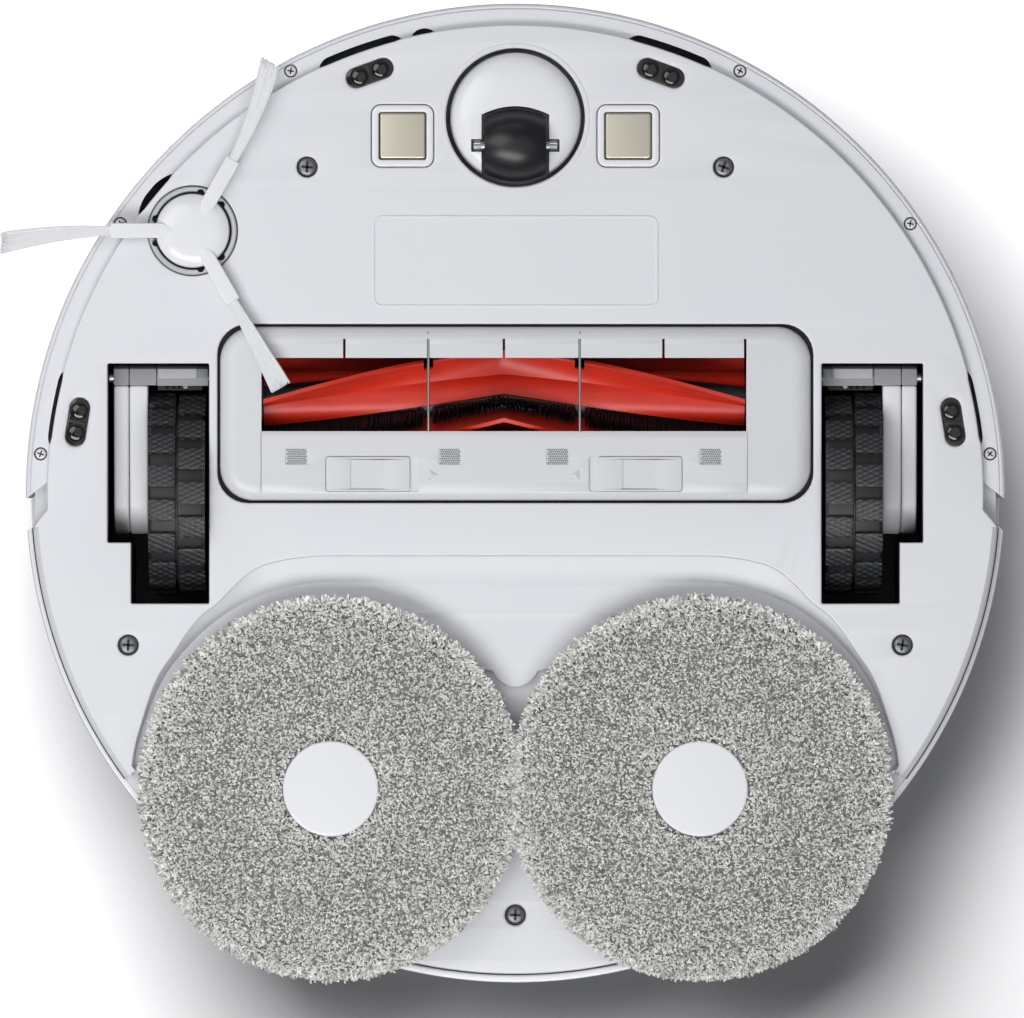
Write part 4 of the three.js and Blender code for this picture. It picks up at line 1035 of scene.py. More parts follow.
mount(makeBumper(), "bumper", "white_abs", "bumper")
half, z0, z1 = bumper["window"]
lens = [(172.6, z0 + 0.4), (174.6, z0 + 0.4), (174.9, z0 + 0.8), (174.9, z1 - 0.8),
        (174.6, z1 - 0.4), (172.6, z1 - 0.4)]
spanHalf = math.degrees(math.asin((half - 0.4) / 174.9))
window = turned("front_sensor_window", lens, smokedAcrylic, segments=48,
                span=(-90 - spanHalf, -90 + spanHalf))
mount(window, "bumper", "smoked_lens", "sensor_window")
print("bumper made")


# ---- top casing

casing = {
    "radius": 175.0, "inner": 172.5, "deck": 80.0, "under": 77.5, "round": 9.0, "skirt": 14.2,
    "lid": (-84, 84, -62, 52, 14), "lidGap": 0.4, "lidFloor": 76.8, "button": (14, -100, 7.3),
    "bin": (-72, 72, 7.2, 48.8), "exhaust": (42, 48, 66),
}


def makeCasing():
    out, inn, deck, under, turn = (casing[k] for k in ("radius", "inner", "deck", "under", "round"))
    profile = [(0.02, deck)]
    profile += [(out - turn + turn * cosDeg(a), deck - turn + turn * sinDeg(a))
                for a in frange(90, 0, 7.5)]
    profile += [(out, casing["skirt"] + 0.8), (out - 0.3, casing["skirt"] + 0.25),
                (out - 0.9, casing["skirt"]),
                (inn + 0.5, casing["skirt"]), (inn, casing["skirt"] + 0.5)]
    small = turn - (deck - under)
    profile += [(out - turn + small * cosDeg(a), deck - turn + small * sinDeg(a))
                for a in frange(0, 90, 30)]
    profile += [(0.02, under)]
    shell = turned("casing_shell", profile, glossWhite, segments=256)
    cutters = [block("trim", (-220, 220), (-220, 8.1), (-5, 69.0), None, 0)]  # room for the bumper
    # the front ends of the skirt run on a slant, on the line of the belly's edge
    wedge = [(165, 4), (165, -10), (185, -10), (185, 24)]
    for line in (wedge, mirrored(wedge)):
        cutters.append(plate("trim", [line], -5, 69, None, 0.01, 0))
    x0, x1, y0, y1, r = casing["lid"]
    cutters.append(plate("trim", [roundedRect(x0, x1, y0, y1, r)], casing["lidFloor"] - 4, 90, None,
                         0.01, 0))
    for sign in sides.values():
        x, y, r = casing["button"]
        cutters.append(turned("trim", [(0.01, 60), (r, 60), (r, 90), (0.01, 90)], None,
                              (sign * x, y, 0), 48))
    cutters.append(turned("trim", [(0.01, 60), (6, 60), (6, 90), (0.01, 90)], None, (0, 95, 0), 48))
    half, low, high = casing["exhaust"]
    cutters.append(block("trim", (-half, half), (120, 200), (low, high), None, 1.0))
    shell = cutAway(shell, *cutters)
    shell = smoothByAngle(softened(shell, 0.35, 2, 50), 34)
    # tray under the lid, with the hole that the dust bin hangs in
    tray = plate("lid_tray", [roundedRect(x0 - 2.5, x1 + 2.5, y0 - 2.5, y1 + 2.5, r + 9),
                              roundedRect(*casing["bin"], 4)], 74.5, casing["lidFloor"], greyAbs,
                 0.4)
    walls = []
    for sign in sides.values():
        xs = sorted((sign * 159.5, sign * 168.6))
        walls.append(block("side_rib", xs, (8.1, 10.1), (17.9, 77.8), glossWhite, 0.3))
        # ledge seen through the gap behind the bumper's end
        xs = sorted((sign * 159.8, sign * 171.9))
        walls.append(block("notch_ledge", xs, (-9.0, 13.5), (17.4, 18.6), glossWhite, 0.3))
    return evened(joined("top_casing", [shell, tray] + walls))


def makeLid():
    x0, x1, y0, y1, r = casing["lid"]
    gap = casing["lidGap"]
    outline = roundedRect(x0 + gap, x1 - gap, y0 + gap, y1 - gap, r - gap)
    return plate("bin_lid", [outline], 77.4, 79.9, glossWhite, 0.6, 3)


mount(makeCasing(), "chassis", "white_abs", "top_shell")
mount(makeLid(), "lid", "white_abs", "lid")
print("casing made")


# ---- brush cover, its latches and guard wires

cover = {
    "x": 105.6, "front": -59.5, "rear": 2.7, "corner": 10.2, "low": 7.8, "top": 13.0, "round": 6.2,
    "plate": 1.6, "mouth": (-90.7, 82.5, -48.3, -22.1),
    "combX": [-90.3, -61.1, -31.1, -4.1, 23.0, 52.9, 82.1], "combFrom": -55.1, "combWidth": 0.9,
    "guardX": [-31.1, 23.0], "guardRadius": 0.45,
    "seamX": [-90.8, 82.9],
    "patches": [-78.1, -23.3, 15.2, 69.9], "patchSize": (8.3, 6.1), "patchY": -13.1,
    "arrows": [(-31.2, -26.6), (23.1, 18.7)], "arrowY": (-8.9, -4.1),
}
latch = {
    "slotY": (-13.2, -0.4), "slots": {"right": (-67.9, -34.3), "left": (26.2, 59.8)},
    "sliders": {"right": (-67.6, -37.7), "left": (29.6, 59.5)}, "recess": 12.5,
}


def loftedRect(name, x, front, rear, corner, levels, material):
    # a rounded rectangle lofted through [inset, z] levels, closed at both ends
    points = []
    for inset, z in levels:
        ring = roundedRect(-x + inset, x - inset, front + inset, rear - inset,
                           max(0.4, corner - inset), 10)
        points += [(px, py, z) for px, py in ring]
    return solidFrom(name, points, skin(len(ring), len(levels)), material)


def makeCover():
    low, top, r = cover["low"], cover["top"], cover["round"]
    x, front, rear, corner = (cover[k] for k in ("x", "front", "rear", "corner"))
    rise = top - low - 0.8
    levels = [(r * (1 - sinDeg(a)), low + rise * (1 - cosDeg(a))) for a in frange(0, 90, 9)]
    levels += [(0, top)]
    shell = loftedRect("brush_cover_shell", x, front, rear, corner + 2, levels, coverAbs)
    shell["angle"] = 30
    wall = cover["plate"]
    inner = [(r + wall - 0.3, low + wall), (wall + 1.2, low + 3.2), (wall, top - 1),
             (wall, top + 2)]
    cutters = [loftedRect("trim", x, front, rear, corner + 2, inner, None)]
    x0, x1, y0, y1 = cover["mouth"]
    cutters.append(block("trim", (x0, x1), (y0, y1), (0, 20), None, 0))
    for cx in cover["combX"]:
        half = cover["combWidth"] / 2
        cutters.append(block("trim", (cx - half, cx + half), (cover["combFrom"], y0 + 1), (0, 20),
                             None, 0))
    for a, b in latch["slots"].values():
        cutters.append(plate("trim", [roundedRect(a, b, *latch["slotY"], 1.2, 4)], 0, low + 1.05,
                             None, 0.01, 0))
    for cx in cover["seamX"]:
        cutters.append(block("trim", (cx - 0.2, cx + 0.2), (y1 - 0.1, rear - 0.5), (0, low + 1.0),
                             None, 0))
    w, d = cover["patchSize"]
    cy = cover["patchY"]
    for cx in cover["patches"]:
        cutters.append(plate("trim",
                             [roundedRect(cx - w / 2, cx + w / 2, cy - d / 2, cy + d / 2, 0.8, 3)],
                             0, low + 0.5, None, 0.01, 0))
    # the lip behind the mouth slopes away
    lip = [(x0 - 3, y1 - 1, low - 2), (x0 - 3, y1 + 2.1, low - 0.01), (x0 - 3, y1 - 1, low + 1.15),
           (x1 + 3, y1 - 1, low - 2), (x1 + 3, y1 + 2.1, low - 0.01), (x1 + 3, y1 - 1, low + 1.15)]
    lip = [(min(max(px, x0), x1), py, pz) for px, py, pz in lip]
    cutters.append(solidFrom("trim", lip,
                             [(0, 1, 2), (5, 4, 3), (0, 3, 4, 1), (1, 4, 5, 2), (2, 5, 3, 0)]))
    shell = cutAway(shell, *cutters)
    shell = smoothByAngle(softened(shell, 0.28, 2, 48), 30)
    parts = [shell]
    for a, b in cover["arrows"]:
        c0, c1 = cover["arrowY"]
        tri = [(a, c0), (b, (c0 + c1) / 2), (a, c1)]
        tri = tri if b > a else list(reversed(tri))
        peak = (sum(p[0] for p in tri) / 3, sum(p[1] for p in tri) / 3, low - 0.7)
        points = [(px, py, low + 0.1) for px, py in tri] + [peak]
        parts.append(solidFrom("arrow", points, [(0, 2, 1), (0, 1, 3), (1, 2, 3), (2, 0, 3)],
                               coverAbs, 5))
    return joined("brush_cover_shell", parts)


def makeGrips():
    # moulded grip dots in the four patches
    w, d = cover["patchSize"]
    dot = turned("dot", [(0.01, 0), (0.36, 0), (0.3, -0.22), (0.01, -0.28)], None, segments=6)
    spots = []
    for cx in cover["patches"]:
        for i in range(10):
            for k in range(7):
                x = cx - w / 2 + 0.75 + (w - 1.5) * (i + (0.5 if k % 2 else 0.0)) / 9.5
                y = cover["patchY"] - d / 2 + 0.7 + (d - 1.4) * k / 6
                spots.append(spot(x, y, cover["low"] + 0.52))
    return repeated("cover_grips", dot, spots, gripGrey, repeatSmall, 60)


def makeGuards():
    parts = []
    y1, r = cover["mouth"][3], cover["guardRadius"]
    for cx in cover["guardX"]:
        path = [(cover["combFrom"] - 2.5, 9.2), (cover["combFrom"], 8.6), (-50, 8.5), (-35, 8.4),
                (y1 - 0.5, 8.5), (y1 + 1.5, 9.0)]
        points = [(cx + r * cosDeg(a), y, z + r * sinDeg(a)) for y, z in path
                  for a in range(0, 360, 36)]
        parts.append(solidFrom("guard", points, skin(10, len(path)), brightSteel))
    return joined("guard_wires", parts)


def makeLatch(side):
    a, b = latch["sliders"][side]
    y0, y1 = latch["slotY"]
    low = cover["low"] + 0.02
    outline = roundedRect(a, b, y0 + 0.25, y1 - 0.25, 1.1, 5)
    slider = plate("latch_" + side, [outline], low, low + 1.0, coverAbs, 0.28, 2)
    middle, half = (a + b) / 2, latch["recess"] / 2
    cutter = block("trim", (middle - half, middle + half), (y0 + 1.1, y1 - 0.9),
                   (low - 1, low + 0.5), None, 0)
    return smoothByAngle(softened(cutAway(slider, cutter), 0.14, 2, 50), 30)


mount(makeCover(), "brush_cover", "grey_abs", "brush_cover")
mount(makeGrips(), "brush_cover", "grey_abs")
mount(makeGuards(), "brush_cover", "steel")
for side in sides:
    mount(makeLatch(side), side + "_latch", "grey_abs", "cover_latch_" + side)
print("brush cover made")


# ---- main roller

roller = {
    "y": -33.3, "z": 27.0, "from": -90.0, "to": 82.0, "core": 9.6, "strip": 10.9, "tip": 19.6,
    "blades": 4,
    "twist": 70.0, "stripWidth": 60.0, "bladeThickness": 1.5, "steps": 64, "notch": 3.4,
    "notchRadius": 15.8, "hairPitch": 0.55, "hairTip": 18.6, "hairRadius": 0.3, "hairOffset": -72.0,
    "hairRows": [-7.0, -3.5, 0.0, 3.5, 7.0],  # degrees round the core
}


def rollerAngle(x):
    # how far a blade has turned towards the front, in degrees: 0 at the ends, most in the middle
    middle, half = (roller["from"] + roller["to"]) / 2, (roller["to"] - roller["from"]) / 2
    return roller["twist"] * (1 - abs(x - middle) / half)


def rollerPoint(x, r, beta):
    # beta is 0 straight down, positive towards the front
    b = math.radians(beta)
    return (x, roller["y"] - r * math.sin(b), roller["z"] - r * math.cos(b))


def bladeSection():
    # [radius, degrees back from the blade's face] round the strip and its blade
    s, tip, w = roller["strip"], roller["tip"], roller["stripWidth"]
    t = math.degrees(roller["bladeThickness"] / s)
    tipT = math.degrees(1.15 / tip)
    section = [(roller["core"] - 0.8, -1.0), (s - 0.3, -1.0), (s + 1.2, -0.2), (tip - 1.6, 0.4),
               (tip - 0.9, -1.0), (tip, -0.6),
               (tip, tipT + 0.4), (tip - 0.9, tipT + 1.2), (tip - 1.8, tipT), (s + 1.6, t * 0.85),
               (s + 0.5, t + 2.5)]
    section += [(s + 0.25 * math.sin(math.pi * k / 6), t + 4 + (w - t - 6) * k / 6)
                for k in range(7)]
    section += [(s - 0.5, w - 0.6), (roller["core"] - 0.8, w)]
    return section


def makeBlade(k):
    section = bladeSection()
    xs = frange(roller["from"], roller["to"], (roller["to"] - roller["from"]) / roller["steps"])
    turn = k * 360 / roller["blades"]
    points = [rollerPoint(x, r, rollerAngle(x) + turn - back) for x in xs for r, back in section]
    return solidFrom("blade", points, skin(len(section), len(xs)), redElastomer, 40)


def makeRoller():
    blades = joined("roller_blades", [makeBlade(k) for k in range(roller["blades"])])
    cutters = []
    for cx in cover["guardX"]:
        h = roller["notch"] / 2
        cutters.append(turned("trim",
                              [(roller["notchRadius"], -h), (24, -h), (24, h),
                               (roller["notchRadius"], h)], None,
                              (cx, roller["y"], roller["z"]), 64, axis="x"))
    blades["angle"] = 38
    blades = cutAway(blades, *cutters)
    centre, core = (0, roller["y"], roller["z"]), roller["core"]
    start, end = roller["from"], roller["to"]
    profile = [(0.01, start - 4.4), (2.8, start - 4.4), (2.8, start - 0.6), (8.6, start - 0.6),
               (core, start), (core, end),
               (8.6, end + 0.6), (3.4, end + 0.6), (3.4, end + 3.8), (0.01, end + 3.8)]
    parts = [turned("roller_core", profile, blackNylon, centre, 48, axis="x")]
    for x0, x1 in ((start - 2.6, start - 0.7), (end + 0.7, end + 2.6)):
        cap = [(3.0, x0), (7.2, x0), (7.6, x0 + 0.4), (7.6, x1 - 0.3), (7.3, x1), (3.0, x1)]
        parts.append(turned("cap", cap, gearAbs, centre, 40, axis="x"))
    return blades, joined("roller_core", parts)


def makeRollerHair():
    # one nylon hair, four-sided, standing on z and pointing to +z
    rnd = random.Random(11)
    hair = turned("hair",
                  [(0.01, 0), (roller["hairRadius"], 0), (roller["hairRadius"] * 0.8, 7),
                   (0.02, 9)], None, segments=4)
    spots = []
    for k in range(0, roller["blades"], 2):  # behind every other blade
        for row in roller["hairRows"]:
            for x in frange(roller["from"] + 0.8, roller["to"] - 0.8, roller["hairPitch"]):
                if min(abs(x - cx) for cx in cover["guardX"]) < roller["notch"] / 2:
                    continue
                beta = (rollerAngle(x) + k * 360 / roller["blades"] + roller["hairOffset"] + row
                        + rnd.uniform(-1.5, 1.5))
                root = rollerPoint(x + rnd.uniform(-0.2, 0.2), roller["core"] - 0.4, beta)
                length = (roller["hairTip"] + rnd.uniform(-0.6, 0.5) - roller["core"]) / 9
                spots.append((root, (180 - beta + rnd.uniform(-4, 4), rnd.uniform(-4, 4), 0),
                              (1, 1, length), rnd.random()))
    return repeated("roller_bristles", hair, spots, blackFilament, repeatSmall, 80)


blades, core = makeRoller()
mount(blades, "main_brush", "red_tpu", "brush_roller")
mount(core, "main_brush", "dark_abs")
mount(makeRollerHair(), "main_brush", "nylon_bristle")
print("roller made")


# ---- drive wheels

wheel = {"x": 121.0, "z": 36.5, "radius": 36.5, "depth": 2.1, "row": 9.6, "gap": 1.0, "lugs": 18,
         "lugDegrees": 12.6, "rim": 27.0}


def lugPiece():
    # one tread block at the top of the wheel, with raised scales across it
    r, base = wheel["radius"], wheel["radius"] - wheel["depth"] - 0.4
    half, w = wheel["lugDegrees"] / 2, wheel["row"] / 2
    points, faces = [], []
    rows, cols = 13, 9
    for i in range(rows):
        a = math.radians(-half + 2 * half * i / (rows - 1))
        edge = min(i, rows - 1 - i) == 0
        for k in range(cols):
            x = -w + 2 * w * k / (cols - 1)
            side = k in (0, cols - 1)
            scale = 0.28 * abs(((i * 0.5 + k * 0.75) % 2) - 1) + 0.22 * (((i + k) % 4) == 0)
            rr = r - 0.45 * (edge or side) - (0 if (edge or side) else scale)
            points.append((x * (0.96 if edge else 1), rr * math.sin(a * (0.95 if side else 1)),
                           rr * math.cos(a)))
    top = len(points)
    for i in range(rows):
        a = math.radians(-half + 2 * half * i / (rows - 1))
        for x in (-w, w):
            points.append((x, base * math.sin(a), base * math.cos(a)))
    for i in range(rows - 1):
        for k in range(cols - 1):
            faces.append((i * cols + k, i * cols + k + 1, (i + 1) * cols + k + 1,
                          (i + 1) * cols + k))
        lo, hi = top + 2 * i, top + 2 * (i + 1)
        faces.append((i * cols, (i + 1) * cols, hi, lo))
        faces.append((i * cols + cols - 1, lo + 1, hi + 1, (i + 1) * cols + cols - 1))
        faces.append((lo, hi, hi + 1, lo + 1))
    faces.append(tuple(range(cols)) + (top + 1, top))
    faces.append(tuple(reversed(range((rows - 1) * cols, rows * cols)))
                 + (top + 2 * rows - 2, top + 2 * rows - 1))
    return solidFrom("lug", points, faces, None, 25)


def makeTyre(side):
    sign = sides[side]
    pitch = 360 / wheel["lugs"]
    spots = []
    for row in (-1, 1):
        # the row nearer the middle of the machine has a lug straight down
        inner = row == -sign
        for i in range(wheel["lugs"]):
            turn = 180 + pitch * (i + (0 if inner else 0.5))
            spots.append(spot(sign * wheel["x"] + row * (wheel["row"] + wheel["gap"]) / 2, 0,
                              wheel["z"], (turn, 0, 0)))
    lugs = repeated("lugs_" + side, lugPiece(), spots, tyreRubber, repeatSmall, 25)
    half = wheel["row"] + wheel["gap"] / 2
    b, rim = wheel["radius"] - wheel["depth"], wheel["rim"]
    profile = [(rim + 0.3, -half), (b - 1.6, -half), (b - 0.3, -half + 0.9), (b, -half + 1.8),
               (b, -0.5), (b - 0.5, -0.3),
               (b - 0.5, 0.3), (b, 0.5), (b, half - 1.8), (b - 0.3, half - 0.9), (b - 1.6, half),
               (rim + 0.3, half)]
    band = turned("band_" + side, profile, tyreBase, (sign * wheel["x"], 0, wheel["z"]), 120,
                  axis="x")
    return joined("tyre_tread_" + side, [lugs, band])


def makeHub(side):
    sign = sides[side]
    x = sign * wheel["x"]
    out = [(0.01, -9.4), (9, -9.4), (10, -8.6), (20, -7.6), (24.5, -7.0), (25.4, -9.6),
           (26.6, -9.6), (26.9, -9.2),
           (26.9, 9.2), (26.6, 9.8), (25.4, 9.8), (24.5, 8.6), (10, 9.4), (9, 9.8), (3, 9.8),
           (3, 14.8), (0.01, 14.8)]
    if sign < 0:
        out = [(r, -h) for r, h in reversed(out)]
    disc = turned("hub_" + side, out, blackNylon, (x, 0, wheel["z"]), 72, axis="x")
    spokes = []
    for i in range(6):
        spokes.append(block("spoke", sorted((x - sign * 9.2, x - sign * 6.6)), (-1.3, 1.3),
                            (wheel["z"] + 9.5, wheel["z"] + 24.8),
                            blackNylon, 0.4, 1, turn=(60 * i, 0, 0), about=(x, 0, wheel["z"])))
    return joined("wheel_disc_" + side, [disc] + spokes)


def sideProfile(name, outline, x0, x1, material, bevel, rounds=3):
    # a [y, z] outline stretched along X, with softened edges
    points = [(x, y, z) for x in (x0, x1) for y, z in outline]
    return softened(solidFrom(name, points, skin(len(outline), 2), material, 30), bevel, rounds, 40)


def makeArm(side):
    # gear case beside the wheel, with the pivot block in front of it
    sign = sides[side]
    case = arc(0, wheel["z"], 14.6, -78, 82, 18) + [
        (-30, 36), (-40, 30.6), (-44.6, 28.4), (-45.4, 26.0), (-45.2, 23.2), (-38.9, 22.6),
        (-38.4, 18.5)]
    # two half shells that meet in a seam
    parts = []
    for x0, x1 in ((131.5, 138.1), (138.35, 143.7)):
        xs = sorted((sign * x0, sign * x1))
        parts.append(sideProfile("arm", case, xs[0], xs[1], gearAbs, 0.9, 4))
    # the pivot block, drawn back at the bottom so that it clears the well when the arm hangs
    # the pivot blocks are painted a darker grey, painted shade
    for x0, x1, low, rear, finish in ((128.5, 138.1, 19.3, -38.6, blockShadeGrey),
                                      (138.35, 143.8, 19.3, -38.6, blockShadeGrey),
                                      (109.9, 128.3, 19.9, -38.4, blockShadeGrey),
                                      (114.0, 127.9, 19.1, -41.0, greyAbs),
                                      (110.0, 113.4, 19.4, -41.1, gripGrey),
                                      (112.0, 128.2, 24.5, -36.8, blackAbs)):
        xs = sorted((sign * x0, sign * x1))
        outline = [(-46.0, 24.6), (-45.4, 21.7), (-44.5, low), (rear, low), (rear, 27.8),
                   (-45.4, 27.8)]
        if low > 21:
            outline = [(-40.0, low), (rear, low), (rear, 27.8), (-40.0, 27.8)]
        parts.append(sideProfile("arm", outline, xs[0], xs[1], finish, 0.25))
    xs = sorted((sign * 116, sign * 128))
    parts.append(block("arm", xs, (-42.8, -39.8), (28.3, 30.6), greyAbs, 0.3))
    return joined("arm_case_" + side, parts)


for side in sides:
    mount(makeTyre(side), side + "_wheel", "tyre_rubber", "tyre_" + side)
    mount(makeHub(side), side + "_wheel", "dark_abs", "wheel_hub_" + side)
    mount(makeArm(side), side + "_arm", "grey_abs", "arm_housing_" + side)
print("wheels made")


# ---- front caster

def makeCaster():
    # white dome with a soft edge, open for the wheel
    profile = [(0.02, 7.6), (6, 7.7), (12, 8.1), (17, 8.8), (19.6, 9.4), (21.3, 10.3), (22.5, 11.8),
               (23.2, 13.8), (23.4, 16), (23.4, 31), (5, 31), (5, 46), (0.02, 46)]
    dish = turned("caster_dish", profile, glossWhite, (0, caster["y"], 0), 144)
    dish["angle"] = 40
    half, axleY = 12.1, caster["axleY"]
    crown = [(x, axleY - 14.0 + 3.0 * (x / half) ** 2) for x in frange(-half, half, 1.5)]
    slot = plate("trim", [crown + [(half, axleY + 30), (-half, axleY + 30)]], -2, 27.4, None, 0.01,
                 0)
    groove = block("trim", (-15.8, 15.8), (axleY - 2.3, axleY + 2.3), (0, 15.4), None, 0.3)
    return smoothByAngle(softened(cutAway(dish, slot, groove), 0.5, 3, 55), 34)


def makeCasterWheel():
    high, edge, half = caster["wheelRadius"], caster["wheelEdge"], caster["wheelHalf"]
    crown = [(edge + (high - edge) * (1 - t * t), half * t) for t in frange(-1, 1, 1 / 8)]
    profile = [(2.3, -half), (edge - 0.3, -half)] + crown + [(edge - 0.3, half), (2.3, half)]
    return turned("caster_barrel", profile, blackNylon, (0, caster["axleY"], caster["axleZ"]), 72,
                  axis="x")


def makeAxle():
    end, place = 15.3, (0, caster["axleY"], caster["axleZ"])
    profile = [(0.01, -end), (1.5, -end), (1.95, -end + 0.5), (1.95, end - 0.5), (1.5, end),
               (0.01, end)]
    shaft = turned("axle", profile, brightSteel, place, 32, axis="x")
    tooth = block("tooth", (-1.3, 1.3), (-0.22, 0.22), (1.8, 2.35), None, 0.08, 1)
    spots = [spot(x, *place[1:], (22.5 * i, 0, 0)) for x in (-13.6, 13.6) for i in range(16)]
    teeth = repeated("teeth", tooth, spots, brightSteel, repeatSmall, 30)
    return joined("caster_pin", [shaft, teeth])


mount(makeCaster(), "caster_fork", "white_abs", "caster_fork")
mount(makeCasterWheel(), "caster_wheel", "caster_nylon", "caster_wheel")
mount(makeAxle(), "caster_fork", "steel", "caster_axle")
print("caster made")


# ---- side brush

brush = {
    "hub": 13.2, "low": 3.6, "top": 9.7, "shaft": 5.0, "shaftTop": 15.6, "armReach": 29.2,
    "armWidth": 5.3,
    # degrees, and the number of its tuft
    "armLow": 3.8, "armTop": 7.3, "arms": {180: 1, 60: 3, -60: 2},
    "hairs": 440, "hairRadius": 0.17, "tip": {180: 68.4, 60: 64.6, -60: 66.2}, "fanAtRoot": 1.25,
    "fanAtTip": 3.8,
    "bend": {180: -4.6, 60: 0.6, -60: -5.8},  # how far a tuft has leaned over, in mm at its tip
    "collarIn": 13.9, "collarLow": 7.8, "collarTop": 11.4,
}


def turnedXY(x, y, degrees):
    a = math.radians(degrees)
    return (sweeper["x"] + x * math.cos(a) - y * math.sin(a),
            sweeper["y"] + x * math.sin(a) + y * math.cos(a))


def ontoSweeper(obj, degrees):
    # from the origin, pointing to +X, onto the brush's axis at its own angle
    spin = Matrix.Rotation(math.radians(degrees), 4, "Z")
    obj.data.transform(Matrix.Translation((sweeper["x"] * mm, sweeper["y"] * mm, 0)) @ spin)
    return obj


def makeSweeperHub():
    r, low, top = brush["hub"], brush["low"], brush["top"]
    profile = [(0.02, low), (3.6, low + 0.02), (6.4, low + 0.12), (9.0, low + 0.45),
               (11.4, low + 1.1), (12.8, low + 2.1),
               (r, low + 3.2), (r, top), (brush["shaft"], top), (brush["shaft"], brush["shaftTop"]),
               (0.02, brush["shaftTop"])]
    parts = [turned("hub", profile, glossWhite, (sweeper["x"], sweeper["y"], 0), 96, angle=28)]
    return joined("side_brush_hub_shell", parts + [makeSleeve(turn) for turn in brush["arms"]])


def makeSleeve(turn):
    # an open-ended square sleeve that grips one tuft
    reach, w, low, top = brush["armReach"], brush["armWidth"] / 2, brush["armLow"], brush["armTop"]
    wall = 0.75
    outline = [(6.2, -0.4), (10.5, -w), (reach, -w), (reach, w), (10.5, w), (6.2, 0.4)]
    sleeve = plate("sleeve", [outline], low, top, glossWhite, 0.4, 3)
    bore = block("trim", (reach - 4.5, reach + 2), (-w + wall, w - wall), (low + wall, top - wall),
                 None, 0.15, 1)
    sleeve = cutAway(sleeve, bore)
    return smoothByAngle(ontoSweeper(sleeve, turn), 34)


